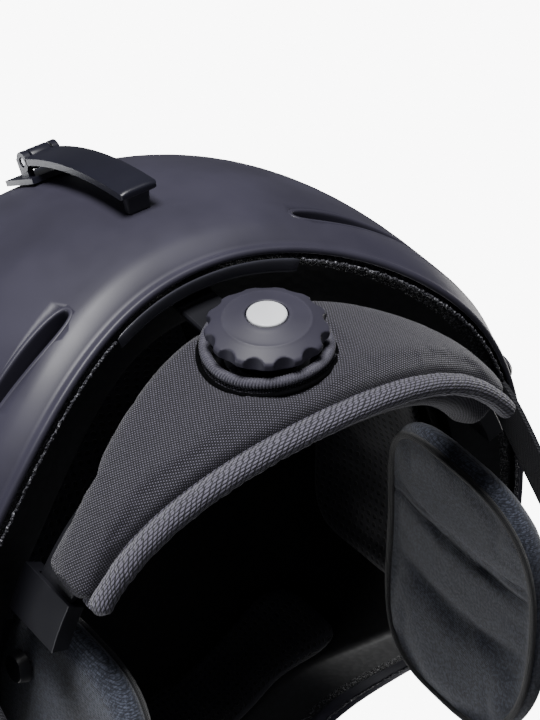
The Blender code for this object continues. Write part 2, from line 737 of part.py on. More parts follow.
def make_band_guide(side, word):
    """Pocket under the foam's edge that carries the band's free end."""
    plastic = material("housing_plastic", BLACK, 0.5)
    reach = BAND_WALL / 2 + CLEARANCE
    half = BAND_HEIGHT / 2 + CLEARANCE
    wall = 1.6 * MM
    inner, outer = BAND_RADIUS - reach, BAND_RADIUS + reach
    top = SIDE_RIM_Z + LINER_RECESS - GAP
    angles = (side * GUIDE_START, side * GUIDE_END)
    levels = (-half - wall, top)
    guide = arc_block(f"band_guide_{word}", (inner - wall, outer + wall), angles, levels, plastic)
    ends = (side * (GUIDE_START - 3), side * (GUIDE_END + 9))
    cut(guide, arc_block(f"guide_way_{word}", (inner, outer), ends, (-half, half)))
    return guide


# ---------------------------------------------------------------- goggle clip

def clip_path(offset, low, high, count):
    """Points over the back of the shell on the middle plane, held off it by an offset."""
    path = []
    for i in range(count + 1):
        z = low + (high - low) * i / count
        path.append(form_point(0, z) + form_normal(0, z) * offset)
    return path


def clip_hinge():
    return form_point(0, CLIP_HINGE_Z) + form_normal(0, CLIP_HINGE_Z) * (CLIP_LIFT + CLIP_WALL / 2)


def make_goggle_clip():
    plastic = material("clip_plastic", CHARCOAL, 0.35)
    middle = CLIP_LIFT + CLIP_WALL / 2
    path = clip_path(middle, CLIP_TIP_Z, CLIP_HINGE_Z, 8)
    arm = ribbon("goggle_clip", path, CLIP_WIDTH, CLIP_WALL, plastic, across=(1, 0, 0))
    hinge = clip_hinge()
    bevel(arm, 0.7 * MM, 1, 50)
    reach = CLIP_WIDTH / 2 - CLIP_LUG_WIDTH
    along = Vector((reach, 0, 0))
    barrel = rod("clip_barrel", hinge - along, hinge + along, CLIP_BARREL_RADIUS, 20)
    for side in (1, -1):
        near, far = sorted((side * reach, side * CLIP_WIDTH))
        low = hinge + Vector((near, -6 * MM, -5.2 * MM))
        high = hinge + Vector((far, 6 * MM, 6 * MM))
        cut(arm, box(f"clip_notch_{side}", low, high))
    join(arm, barrel)
    cut(arm, rod("clip_bore", hinge - 3 * along, hinge + 3 * along, CLIP_PIN_RADIUS + CLEARANCE, 16))
    tip_z = CLIP_TIP_Z + 2.2 * MM
    surface, out = form_point(0, tip_z), form_normal(0, tip_z)
    start, end = surface + out * 2 * GAP, surface + out * (CLIP_LIFT + CLIP_WALL / 2)
    foot = ribbon("clip_foot", (start, end), 3 * MM, 8 * MM, across=out.cross(Vector((1, 0, 0))))
    join(arm, foot)
    return arm


def make_clip_base():
    """Bracket on the shell with two lugs that hold the clip's pin."""
    plastic = material("clip_plastic", CHARCOAL, 0.35)
    hinge = clip_hinge()
    out = form_normal(0, CLIP_HINGE_Z)
    tilt = atan2(out.z, out.y)
    turn = Matrix.Rotation(tilt, 4, "X")
    foot = form_point(0, CLIP_HINGE_Z + 2 * MM) + out * (0.9 * MM + 0.5 * MM)
    size = Vector((CLIP_WIDTH + 4 * MM, 1.8 * MM, 19 * MM))
    base = box("goggle_clip_base", foot - size / 2, foot + size / 2, plastic, turn)
    for side in (1, -1):
        x0 = side * (CLIP_WIDTH / 2 - CLIP_LUG_WIDTH + GAP)
        x1 = side * (CLIP_WIDTH / 2)
        inside, outside = (x0, hinge.y, hinge.z), (x1, hinge.y, hinge.z)
        lug = rod(f"clip_lug_{side}", inside, outside, CLIP_BARREL_RADIUS, 20)
        root = foot + out * 2 * MM
        middle = (root + hinge) / 2
        span = Vector((abs(x1 - x0) - 0.2 * MM, (hinge - foot).length, 5.2 * MM))
        middle.x = (x0 + x1) / 2
        web = box(f"clip_web_{side}", middle - span / 2, middle + span / 2, turn=turn)
        join(base, lug, web)
        beyond = Vector((side * MM, 0, 0))
        start, end = Vector(inside) - beyond, Vector(outside) + beyond
        cut(base, rod(f"lug_bore_{side}", start, end, CLIP_PIN_RADIUS + GAP, 16))
    reach = Vector((CLIP_WIDTH / 2 - GAP, 0, 0))
    steel = material("pin_steel", (0.55, 0.55, 0.57), 0.3, 1.0)
    rod("goggle_clip_pin", hinge - reach, hinge + reach, CLIP_PIN_RADIUS, 16, steel)


# ---------------------------------------------------------------- ear pads and chin strap

def cheek_bend(y):
    """How far the ear pad leans in towards its two ends, following the head."""
    return CHEEK_CURVE * (y - EAR_PAD_Y) ** 2


def make_ear_pad(side, word):
    finish = material("ear_fabric", (0.05, 0.05, 0.062), 0.9)
    outline = []
    count = 24
    middle_z = EAR_PAD_TOP_Z - EAR_PAD_DEPTH / 2
    for i in range(count):
        c, s = cos(2 * pi * i / count), sin(2 * pi * i / count)
        k = (abs(c) ** EAR_PAD_POWER + abs(s) ** EAR_PAD_POWER) ** (-1 / EAR_PAD_POWER)
        outline.append((EAR_PAD_HALF_LENGTH * k * s, middle_z + EAR_PAD_DEPTH / 2 * k * c))
    rings = []
    for depth, share in ((0, 0.9), (0.25, 1.0), (0.75, 1.0), (1.0, 0.9)):
        ring = []
        for y, z in outline:
            yy = y * share + EAR_PAD_Y
            zz = middle_z + (z - middle_z) * share
            x = EAR_PAD_X + EAR_PAD_WALL * depth - cheek_bend(yy)
            ring.append(Vector((side * x, yy, zz)))
        rings.append(ring)
    return loft(f"ear_pad_{word}", rings, finish)


def make_ear_snap(side, word, place, y):
    """Snap button that holds the ear pad to the liner's edge."""
    x = EAR_PAD_X + EAR_PAD_WALL - cheek_bend(y)
    outward = Vector((side, 2 * CHEEK_CURVE * (y - EAR_PAD_Y), 0)).normalized()
    root = Vector((side * x, y, SNAP_Z)) + outward * 2 * GAP
    return rod(f"ear_snap_{place}_{word}", root, root + outward * SNAP_HEIGHT, 5 * MM, 16,
               material("snap_plastic", BLACK, 0.3), 4.2 * MM)


def strap_route(side, start_y, end_y):
    """Upper strap from its pocket in the foam down to the divider's slot."""
    z_end = DIVIDER_Z + DIVIDER_HEIGHT / 2 - 4 * MM
    knee = SIDE_RIM_Z + 1 * MM
    return [
        (side * ANCHOR_X, start_y, ANCHOR_TOP_Z),
        (side * ANCHOR_X, start_y, knee),
        (side * (DIVIDER_X + 2.0 * MM), start_y + (end_y - start_y) * 0.3, knee - 20 * MM),
        (side * (DIVIDER_X + 0.7 * MM), start_y + (end_y - start_y) * 0.68, knee - 44 * MM),
        (side * DIVIDER_X, end_y, DIVIDER_Z + DIVIDER_HEIGHT / 2 + 2 * MM),
        (side * DIVIDER_X, end_y, z_end),
    ]


def make_upper_straps(side, word, liner):
    webbing = material("webbing", BLACK, 0.8)
    slot_y = STRAP_WIDTH / 2 + CLEARANCE
    ends = (("front", FRONT_ANCHOR_Y, DIVIDER_Y - slot_y), ("rear", REAR_ANCHOR_Y, DIVIDER_Y + slot_y))
    for place, anchor_y, end_y in ends:
        route = strap_route(side, anchor_y, end_y)
        ribbon(f"{place}_strap_{word}", route, STRAP_WIDTH, STRAP_WALL, webbing)
        x = side * ANCHOR_X
        grow = STRAP_WALL / 2 + CLEARANCE
        wide = STRAP_WIDTH / 2 + CLEARANCE
        inner, outer = sorted((x - side * grow, side * (HALF_WIDTH + 4 * MM)))
        pocket = box(f"{place}_strap_pocket_{word}", (inner, anchor_y - wide, 0),
                     (outer, anchor_y + wide, ANCHOR_TOP_Z + 1 * MM))
        cut(liner, pocket)


def make_rivet(side, word, place, y, shell):
    """Rivet that pins an upper strap in its pocket, seen as a low button outside the shell."""
    z = ANCHOR_TOP_Z - 8.3 * MM
    angle = form_angle(y, z)
    skin = form_point(side * angle, z)
    out = form_normal(side * angle, z)
    strap_face = ANCHOR_X + STRAP_WALL / 2 + GAP
    reach = max((abs(skin.x) - strap_face) / abs(out.x), 3 * MM + GAP)
    metal = material("rivet_metal", (0.07, 0.07, 0.08), 0.35, 0.6)
    under, top = skin + out * 2 * GAP, skin + out * 1.9 * MM
    head = rod(f"strap_rivet_{place}_{word}", under, top, RIVET_RADIUS, 16, metal, RIVET_RADIUS - 1.2 * MM)
    foot = skin - out * (reach - GAP)
    join(head, rod(f"rivet_shank_{place}_{word}", foot, skin + out * MM, RIVET_SHANK, 10))
    start, end = foot - out * 1.3 * MM, skin + out * 4 * MM
    cut(shell, rod(f"rivet_bore_{place}_{word}", start, end, RIVET_SHANK + CLEARANCE, 10))


def make_divider(side, word):
    """Y-shaped buckle where the two upper straps meet the lower one."""
    plastic = material("divider_plastic", BLACK, 0.35)
    half, tall, wall = DIVIDER_WIDTH / 2, DIVIDER_HEIGHT / 2, DIVIDER_WALL / 2
    foot, shoulder = half * 0.62, tall - 5 * MM
    right = ((half, tall), (half, shoulder), (foot, -tall))
    outline = ((-half, tall), *right, (-foot, -tall), (-half, shoulder))
    middle = Vector((side * DIVIDER_X, DIVIDER_Y, DIVIDER_Z))
    rings = [[middle + Vector((x, y, z)) for y, z in outline] for x in (-wall, wall)]
    divider = loft(f"strap_divider_{word}", rings, plastic)
    bevel(divider, 0.8 * MM)
    grow = STRAP_WALL / 2 + CLEARANCE
    wide = STRAP_WIDTH / 2 + CLEARANCE
    x = side * DIVIDER_X
    base = DIVIDER_Z + shoulder
    reach = 2 * wide + 0.05 * MM
    low, high = (x - grow, DIVIDER_Y - reach, base), (x + grow, DIVIDER_Y + reach, base + 20 * MM)
    cut(divider, box(f"upper_slots_{word}", low, high))
    top = DIVIDER_Z - tall + 4.4 * MM
    low, high = (x - grow, DIVIDER_Y - wide, top - 20 * MM), (x + grow, DIVIDER_Y + wide, top)
    cut(divider, box(f"low_slot_{word}", low, high))
    return divider


def chin_z(x):
    """Height of the lower strap's centre line at a place across the chin."""
    share = min(1.0, abs(x) / DIVIDER_X)
    return DIVIDER_Z - CHIN_DROP * (1 - share ** STRAP_POWER) ** (1 / STRAP_POWER)


def chin_route(start, end, count=10):
    """Lower strap between two angles round its U; 0 is the bottom, 90 a divider."""
    route = []
    for i in range(count + 1):
        turn = radians(start + (end - start) * i / count)
        c, s = cos(turn), sin(turn)
        k = (abs(c) ** STRAP_POWER + abs(s) ** STRAP_POWER) ** (-1 / STRAP_POWER)
        route.append(Vector((DIVIDER_X * k * s, DIVIDER_Y, DIVIDER_Z - CHIN_DROP * k * c)))
    return route


def chin_angle(x):
    """Angle round the U at a place across the chin."""
    return degrees(atan2(x / DIVIDER_X, (DIVIDER_Z - chin_z(x)) / CHIN_DROP))


def make_lower_straps():
    webbing = material("webbing", BLACK, 0.8)
    divider_end = 87
    socket_x, plug_x = BUCKLE_X + 25 * MM, BUCKLE_X - 17 * MM
    left = chin_route(chin_angle(socket_x), divider_end, 14)
    right = chin_route(chin_angle(plug_x), -divider_end, 12)
    return (ribbon("lower_strap_left", left, STRAP_WIDTH, STRAP_WALL, webbing),
            ribbon("lower_strap_right", right, STRAP_WIDTH, STRAP_WALL, webbing))


def make_chin_pad():
    """Padded sleeve on the strap under the chin."""
    route = chin_route(chin_angle(6 * MM), chin_angle(58 * MM), 8)
    rings = []
    for i, point in enumerate(route):
        ahead = route[min(i + 1, 8)] - route[max(i - 1, 0)]
        normal = ahead.cross(Vector((0, 1, 0))).normalized()
        end = i in (0, 8)
        wide, thick = (11 * MM, 3.2 * MM) if end else (14 * MM, 4.6 * MM)
        ring = []
        for k in range(12):
            turn = 2 * pi * k / 12
            ring.append(point + Vector((0, 1, 0)) * wide * cos(turn) + normal * thick * sin(turn))
        rings.append(ring)
    pad = loft("chin_pad", rings, material("chin_fabric", BLACK, 0.9))
    way = chin_route(chin_angle(-4 * MM), chin_angle(66 * MM), 12)
    cut(pad, ribbon("chin_pad_way", way, STRAP_WIDTH + 2 * CLEARANCE, STRAP_WALL + 2 * CLEARANCE))
    return pad


def centred_box(name, y, z, across, half_width, half_height, finish=None):
    """A box between two x values, centred on a y and a z."""
    low = (across[0], y - half_width, z - half_height)
    high = (across[1], y + half_width, z + half_height)
    return box(name, low, high, finish)


def make_buckle():
    """Side-release buckle: a socket on the left strap and a two-pronged plug on the right strap."""
    plastic = material("buckle_plastic", BLACK, 0.3)
    z = chin_z(0)
    mouth, wide, tall = BUCKLE_X, BUCKLE_WIDTH / 2, BUCKLE_HEIGHT / 2
    y = DIVIDER_Y
    socket = centred_box("buckle_socket", y, z, (mouth, mouth + 28 * MM), wide, tall, plastic)
    bevel(socket, 1.6 * MM, 2)
    inner = wide - 2.2 * MM
    cut(socket, centred_box("socket_hollow", y, z, (mouth - MM, mouth + 18 * MM), inner, 2.4 * MM))
    cut(socket, centred_box("socket_sides", y, z, (mouth + 6 * MM, mouth + 14 * MM), 20 * MM, 2.2 * MM))
    slot = STRAP_WIDTH / 2 + CLEARANCE
    grow = STRAP_WALL / 2 + CLEARANCE
    cut(socket, centred_box("socket_strap_way", y, z, (mouth + 24 * MM, mouth + 40 * MM), slot, grow))
    body = (mouth - 20 * MM, mouth - GAP)
    plug = centred_box("buckle_plug", y, z, body, wide - MM, tall - MM, plastic)
    bevel(plug, 1.2 * MM, 2)
    reach = (mouth - 3 * MM, mouth + 15 * MM)
    for name, offset, half in (("tongue", 0, 1.6), ("prong_front", -7.7, 1.3), ("prong_rear", 7.7, 1.3)):
        join(plug, centred_box(name, y + offset * MM, z, reach, half * MM, 1.5 * MM))
    slack = grow + 6 * CLEARANCE
    cut(plug, centred_box("plug_strap_way", y, z, (mouth - 40 * MM, mouth - 16 * MM), slot, slack))
    return socket, plug


def make_strap_keeper():
    """Rubber loop that holds the strap's loose end."""
    centre = chin_route(-62, -62, 1)[0]
    ahead = chin_route(-60, -64, 2)
    run = (ahead[2] - ahead[0]).normalized()
    turn = Matrix.Rotation(atan2(run.x, run.z), 4, "Y")
    size = Vector((STRAP_WALL + 4 * MM, STRAP_WIDTH + 4 * MM, 5 * MM))
    rubber = material("keeper_rubber", BLACK, 0.7)
    keeper = box("strap_keeper", centre - size / 2, centre + size / 2, rubber, turn)
    bevel(keeper, 0.8 * MM)
    hole = Vector((STRAP_WALL + 3 * CLEARANCE, STRAP_WIDTH + 2 * CLEARANCE, 20 * MM))
    cut(keeper, box("keeper_hole", centre - hole / 2, centre + hole / 2, turn=turn))
    return keeper


# ---------------------------------------------------------------- assembly

def build():
    shell = make_outer_shell()
    liner = make_foam_liner()
    make_rear_insert()
    make_comfort_pads()
    make_nape_pad()
    make_pad_edges()
    make_dial()
    make_housing()
    pocket_low = (-STEM_HALF_WIDTH - MM, STEM_INNER - 0.8 * MM, 20 * MM)
    pocket_high = (STEM_HALF_WIDTH + MM, STEM_OUTER + 0.8 * MM, STEM_TOP_Z + MM)
    cut(liner, box("stem_pocket", pocket_low, pocket_high))
    hang("goggle_clip_pivot", clip_hinge(), make_goggle_clip())
    make_clip_base()
    for side, word in ((1, "left"), (-1, "right")):
        make_band(side, word)
        make_band_guide(side, word)
        make_ear_pad(side, word)
        make_ear_snap(side, word, "front", EAR_PAD_Y - SNAP_SPACING / 2)
        make_ear_snap(side, word, "rear", EAR_PAD_Y + SNAP_SPACING / 2)
        make_upper_straps(side, word, liner)
        make_divider(side, word)
        make_rivet(side, word, "front", FRONT_ANCHOR_Y, shell)
        make_rivet(side, word, "rear", REAR_ANCHOR_Y, shell)
    cut_vents(shell, liner)
    chin_strap = (*make_lower_straps(), make_chin_pad(), *make_buckle(), make_strap_keeper())
    hang("chin_strap_pivot", (0, DIVIDER_Y, DIVIDER_Z), *chin_strap)


clear_scene()
PARTS = new_collection("ski_helmet")
CUTTERS = new_collection("ski_helmet_cutters")
build()
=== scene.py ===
"""Looks of a ski helmet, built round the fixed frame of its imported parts.

Lengths are in metres. +Z is up, +Y points to the back of the helmet and +X to the wearer's left.
Angles round the helmet ("phi", in degrees) start at the back and turn towards the wearer's left.
"""

import logging
from dataclasses import dataclass
from enum import Enum
from math import atan2, cos, degrees, pi, radians, sin
from typing import Callable, Optional, Sequence

import bmesh
import bpy
import numpy as np
from mathutils import Matrix, Vector


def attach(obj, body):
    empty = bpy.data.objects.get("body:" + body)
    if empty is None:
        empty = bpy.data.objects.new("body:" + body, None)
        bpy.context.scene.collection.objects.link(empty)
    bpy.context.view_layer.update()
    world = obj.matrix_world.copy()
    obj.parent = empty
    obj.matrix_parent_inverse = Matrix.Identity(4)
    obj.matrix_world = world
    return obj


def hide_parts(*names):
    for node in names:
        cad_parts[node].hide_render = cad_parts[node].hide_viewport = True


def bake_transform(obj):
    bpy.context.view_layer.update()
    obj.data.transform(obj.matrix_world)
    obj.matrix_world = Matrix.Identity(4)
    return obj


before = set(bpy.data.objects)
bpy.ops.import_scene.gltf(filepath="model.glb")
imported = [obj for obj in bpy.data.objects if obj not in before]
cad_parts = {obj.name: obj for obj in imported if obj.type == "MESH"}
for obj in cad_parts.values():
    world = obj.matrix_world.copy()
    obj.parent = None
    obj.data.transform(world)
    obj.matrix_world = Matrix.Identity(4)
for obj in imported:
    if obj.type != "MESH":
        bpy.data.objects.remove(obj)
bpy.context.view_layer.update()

MM = 0.001
HELMET = "helmet"
LAY = "lay"                         # UV layer that holds distances along the piece, in metres

log = logging.getLogger("ski_helmet")

Colour = tuple[float, float, float]
Pair = tuple[float, float]
Socket = bpy.types.NodeSocket
Object = bpy.types.Object


class Side(Enum):
    """A side of the wearer's head; the value is the sign of its X."""

    LEFT = 1
    RIGHT = -1

    @property
    def word(self) -> str:
        """Return the side's name as the frame's nodes spell it."""
        return self.name.lower()


# ------------------------------------------------------------------------------ node recipes

class Recipe:
    """A material's node tree, written in short steps."""

    def __init__(self, name: str, colour: Colour, roughness: float, metallic: float = 0.0) -> None:
        """Start a material on its main shader.

        Args:
            name: The material's name.
            colour: Base colour, linear.
            roughness: Roughness of the main shader.
            metallic: Metallic value of the main shader.
        """
        self.material = bpy.data.materials.new(name + "_finish")
        self.material.use_nodes = True
        self.tree = self.material.node_tree
        self.shader = self.tree.nodes["Principled BSDF"]
        self.set("Base Color", (*colour, 1.0))
        self.set("Roughness", roughness)
        self.set("Metallic", metallic)

    def set(self, socket: str, value: object) -> None:
        """Set one of the main shader's own sockets."""
        self.shader.inputs[socket].default_value = value

    def node(self, kind: str, **settings: object) -> bpy.types.Node:
        """Add a node.

        Args:
            kind: Node type without its "ShaderNode" prefix.
            **settings: Properties of the node.

        Returns:
            The new node.
        """
        made = self.tree.nodes.new("ShaderNode" + kind)
        for key, value in settings.items():
            setattr(made, key, value)
        return made

    def feed(self, target: Socket, value: object) -> None:
        """Link a socket to a target socket, or set the target to a plain value."""
        if isinstance(value, bpy.types.NodeSocket):
            self.tree.links.new(value, target)
        else:
            target.default_value = value

    def math(self, operation: str, first: object, second: object = 0.0, third: object = 0.0) -> Socket:
        """Add a math node.

        Args:
            operation: Name of the operation.
            first: First value or socket.
            second: Second value or socket.
            third: Third value or socket.

        Returns:
            The result's socket.
        """
        made = self.node("Math", operation=operation)
        for target, value in zip(made.inputs, (first, second, third)):
            self.feed(target, value)
        return made.outputs[0]

    def place(self) -> Socket:
        """Return the piece's own coordinates, in metres."""
        return self.node("TexCoord").outputs["Object"]

    def lay(self, turn: float = 0.0) -> tuple[Socket, Socket]:
        """Return distances along and across the piece, in metres.

        Args:
            turn: Angle in degrees by which the pattern lies off the piece's length.

        Returns:
            The two sockets.
        """
        source = self.node("UVMap", uv_map=LAY).outputs[0]
        if turn:
            mapping = self.node("Mapping")
            self.feed(mapping.inputs["Vector"], source)
            mapping.inputs["Rotation"].default_value = (0.0, 0.0, radians(turn))
            source = mapping.outputs[0]
        split = self.node("SeparateXYZ")
        self.feed(split.inputs[0], source)
        return split.outputs[0], split.outputs[1]

    def wave(self, along: Socket, pitch: float, shift: object = 0.0) -> Socket:
        """Return sin(pi * along / pitch + shift), one thread for each pitch."""
        scaled = self.math("MULTIPLY_ADD", along, pi / pitch, shift)
        return self.math("SINE", scaled)

    def noise(self, size: float, detail: float = 2.0, vector: Optional[Socket] = None) -> Socket:
        """Return smooth noise from 0 to 1.

        Args:
            size: Length of one swell, in metres.
            detail: Octaves of finer noise.
            vector: Coordinates; the piece's own if left out.

        Returns:
            The noise's socket.
        """
        made = self.node("TexNoise")
        self.feed(made.inputs["Vector"], vector or self.place())
        made.inputs["Scale"].default_value = 1 / size
        made.inputs["Detail"].default_value = detail
        return made.outputs[0]

    def cells(self, size: float, feature: str = "F1") -> bpy.types.Node:
        """Return a cell pattern with cells of one size, in metres.

        Args:
            size: Width of a cell.
            feature: Which distance the pattern gives.

        Returns:
            The pattern's node.
        """
        made = self.node("TexVoronoi", feature=feature)
        self.feed(made.inputs["Vector"], self.place())
        made.inputs["Scale"].default_value = 1 / size
        return made

    def span(self, value: Socket, low: float, high: float, out: Pair = (0.0, 1.0)) -> Socket:
        """Map a value from one range smoothly onto another.

        Args:
            value: The value to map.
            low: Where its range starts.
            high: Where its range ends.
            out: The range to map it onto.

        Returns:
            The mapped value.
        """
        made = self.node("MapRange", interpolation_type="SMOOTHSTEP")
        made.inputs["From Min"].default_value = low
        made.inputs["From Max"].default_value = high
        made.inputs["To Min"].default_value = out[0]
        made.inputs["To Max"].default_value = out[1]
        self.feed(made.inputs["Value"], value)
        return made.outputs[0]

    def mix(self, share: Socket, first: object, second: object) -> Socket:
        """Mix two colours, or sockets with colours, by a share.

        Args:
            share: Share of the second colour.
            first: Colour where the share is 0.
            second: Colour where the share is 1.

        Returns:
            The mixed colour.
        """
        made = self.node("Mix", data_type="RGBA")
        self.feed(made.inputs[0], share)
        for target, value in ((made.inputs[6], first), (made.inputs[7], second)):
            self.feed(target, (*value, 1.0) if isinstance(value, tuple) else value)
        return made.outputs[2]

    def dress(self, colour: Optional[Socket] = None, roughness: Optional[Socket] = None) -> None:
        """Feed the main shader's colour and roughness."""
        if colour is not None:
            self.feed(self.shader.inputs["Base Color"], colour)
        if roughness is not None:
            self.feed(self.shader.inputs["Roughness"], roughness)

    def bump(self, height: Socket, depth: float, strength: float = 1.0) -> None:
        """Add relief to what the main shader already has.

        Args:
            height: Height from 0 to 1.
            depth: What a height of 1 stands for, in metres.
            strength: Share of the relief that shows.
        """
        made = self.node("Bump")
        made.inputs["Strength"].default_value = strength
        made.inputs["Distance"].default_value = depth
        self.feed(made.inputs["Height"], height)
        normal = self.shader.inputs["Normal"]
        if normal.links:
            self.feed(made.inputs["Normal"], normal.links[0].from_socket)
        self.feed(normal, made.outputs[0])


# ---------------------------------------------------------------------------------- finishes

@dataclass(frozen=True)
class MouldedPlastic:
    """Moulded plastic with a fine spark-eroded grain and faint flow in its gloss."""

    name: str
    colour: Colour
    roughness: float = 0.4
    grain: float = 0.35 * MM
    relief: float = 0.012 * MM
    coat: float = 0.0

    def material(self) -> bpy.types.Material:
        """Return the finish as a material.

        Returns:
            The finished material.
        """
        made = Recipe(self.name, self.colour, self.roughness)
        made.set("Coat Weight", self.coat)
        made.set("Coat Roughness", 0.25)
        broad = made.noise(28 * MM, 3.0)
        fine = made.noise(self.grain, 2.0)
        deep = tuple(c * 0.82 for c in self.colour)
        light = tuple(c * 1.12 for c in self.colour)
        spread = made.math("ADD", made.span(broad, 0.3, 0.7, (-0.035, 0.035)), self.roughness)
        made.dress(made.mix(made.span(broad, 0.25, 0.75), deep, light), spread)
        made.bump(fine, self.relief)
        return made.material


@dataclass(frozen=True)
class BeadFoam:
    """Moulded bead foam: a skin of small pressed cells, rough where it is cut, with painted glints there."""

    name: str
    colour: Colour
    bead: float = 2.6 * MM
    relief: float = 0.10 * MM
    # Brightness of the painted glints on a cut face; 0 for none.
    sparkle: float = 0.0

    def material(self) -> bpy.types.Material:
        """Return the finish as a material.

        Returns:
            The finished material.
        """
        made = Recipe(self.name, self.colour, 0.62)
        beads = made.cells(self.bead)
        distance = beads.outputs["Distance"]
        edge = made.span(distance, 0.25, 0.75)
        dark = tuple(c * 0.45 for c in self.colour)
        shade = made.mix(edge, self.colour, dark)
        if self.sparkle:
            facets = made.cells(0.55 * MM)
            # Where the foam is cut, random spots get a lighter base colour (painted glints) and a lower
            # roughness (real gloss).
            painted_glint = made.span(made.noise(0.8 * MM, 3.0), 0.52, 0.64)
            made.bump(facets.outputs["Distance"], 0.5 * MM)
            shade = made.mix(painted_glint, shade, (self.sparkle, self.sparkle, self.sparkle * 1.1))
            made.dress(shade, made.span(painted_glint, 0.0, 1.0, (0.6, 0.25)))
        else:
            made.dress(shade)
        made.bump(made.math("SUBTRACT", 1.0, distance), self.relief)
        made.bump(made.noise(0.5 * MM, 2.0), 0.02 * MM)
        return made.material


@dataclass(frozen=True)
class PlainWeave:
    """Coarse plain-weave cloth with separate round threads and dark holes between them."""

    name: str
    thread: Colour
    shadow: Colour
    pitch: float = 0.70 * MM
    turn: float = 0.0
    relief: float = 0.22 * MM

    def material(self) -> bpy.types.Material:
        """Return the finish as a material.

        Returns:
            The finished material.
        """
        made = Recipe(self.name, self.thread, 0.72)
        made.set("Sheen Weight", 0.25)
        made.set("Sheen Roughness", 0.45)
        along, across = made.lay(self.turn)
        drift = made.math("MULTIPLY", made.noise(9 * MM, 1.0), 1.3)
        warp = made.wave(along, self.pitch, drift)
        weft = made.wave(across, self.pitch * 1.12, drift)
        cell = made.math("MULTIPLY", warp, weft)
        swell = made.math("POWER", made.math("ABSOLUTE", cell), 0.55)
        over = made.span(cell, -0.25, 0.25, (0.5, 1.0))
        height = made.math("MULTIPLY", swell, over)
        slub = made.span(made.noise(1.1 * MM, 2.0), 0.3, 0.7, (0.75, 1.1))
        lit = made.math("MULTIPLY", made.span(height, 0.34, 0.86), slub)
        made.dress(made.mix(lit, self.shadow, self.thread), made.span(height, 0.0, 1.0, (0.9, 0.6)))
        made.bump(height, self.relief)
        return made.material


@dataclass(frozen=True)
class RibKnit:
    """Knitted tape: ribs along its length crossed by slanted loops."""

    name: str
    thread: Colour
    shadow: Colour
    rib: float = 0.9 * MM
    loop: float = 1.9 * MM
    relief: float = 0.3 * MM
    slant: float = 1.1

    def material(self) -> bpy.types.Material:
        """Return the finish as a material.

        Returns:
            The finished material.
        """
        made = Recipe(self.name, self.thread, 0.7)
        made.set("Sheen Weight", 0.3)
        made.set("Sheen Roughness", 0.5)
        along, across = made.lay()
        ribs = made.wave(across, self.rib, made.math("MULTIPLY", made.noise(6 * MM, 1.0), 2.0))
        lean = made.math("MULTIPLY_ADD", across, self.slant, along)
        loops = made.wave(lean, self.loop, made.math("MULTIPLY", made.noise(4 * MM, 1.0), 3.0))
        rib = made.math("POWER", made.math("ABSOLUTE", ribs), 0.6)
        loop = made.span(made.math("ABSOLUTE", loops), 0.1, 0.8, (0.35, 1.0))
        height = made.math("MULTIPLY", rib, loop)
        made.dress(made.mix(made.span(height, 0.3, 0.9), self.shadow, self.thread))
        made.bump(height, self.relief)
        return made.material


@dataclass(frozen=True)
class HeatherKnit:
    """Soft jersey in mixed yarn, flecked with lighter and darker stitches, with painted shade in the pits
    between stitches.
    """

    name: str
    yarn: Colour
    fleck: Colour
    stitch: float = 0.55 * MM
    relief: float = 0.12 * MM

    def material(self) -> bpy.types.Material:
        """Return the finish as a material.

        Returns:
            The finished material.
        """
        made = Recipe(self.name, self.yarn, 0.85)
        made.set("Sheen Weight", 0.35)
        made.set("Sheen Roughness", 0.5)
        place = made.place()
        split = made.node("SeparateXYZ")
        made.feed(split.inputs[0], place)
        columns = made.math("ABSOLUTE", made.wave(split.outputs[1], self.stitch))
        rows = made.math("ABSOLUTE", made.wave(split.outputs[2], self.stitch * 1.25))
        between = made.span(rows, 0.0, 0.7, (0.5, 1.0))
        height = made.math("MULTIPLY", made.math("POWER", columns, 0.6), between)
        mottle = made.span(made.noise(0.9 * MM, 4.0), 0.38, 0.66)
        # The pits between stitches are painted at a third of the yarn's colour: painted shade. The lighter
        # flecks are random yarn tone, kept to the stitches' raised tops.
        shaded_pits = made.mix(made.span(height, 0.1, 0.6), tuple(c * 0.35 for c in self.yarn), self.yarn)
        made.dress(made.mix(made.math("MULTIPLY", mottle, made.span(height, 0.2, 0.8)), shaded_pits, self.fleck))
        made.bump(height, self.relief)
        return made.material


@dataclass(frozen=True)
class Fleece:
    """Brushed fleece with a short matted pile, painted darker in the pile's hollows."""

    name: str
    colour: Colour
    pile: float = 0.9 * MM
    relief: float = 0.25 * MM
    sheen: float = 0.01

    def material(self) -> bpy.types.Material:
        """Return the finish as a material.

        Returns:
            The finished material.
        """
        made = Recipe(self.name, self.colour, 0.95)
        made.set("Specular IOR Level", 0.05)
        made.set("Sheen Weight", self.sheen)
        made.set("Sheen Roughness", 0.6)
        tuft = made.noise(self.pile, 5.0)
        cloud = made.noise(14 * MM, 2.0)
        # The colour follows the pile's relief (tuft): painted shade in its hollows; the broad cloud adds
        # random tone.
        dark = tuple(c * 0.55 for c in self.colour)
        light = tuple(c * 1.5 for c in self.colour)
        share = made.math("MULTIPLY_ADD", cloud, 0.4, made.math("MULTIPLY", tuft, 0.6))
        made.dress(made.mix(made.span(share, 0.35, 0.65), dark, light))
        made.bump(tuft, self.relief)
        return made.material


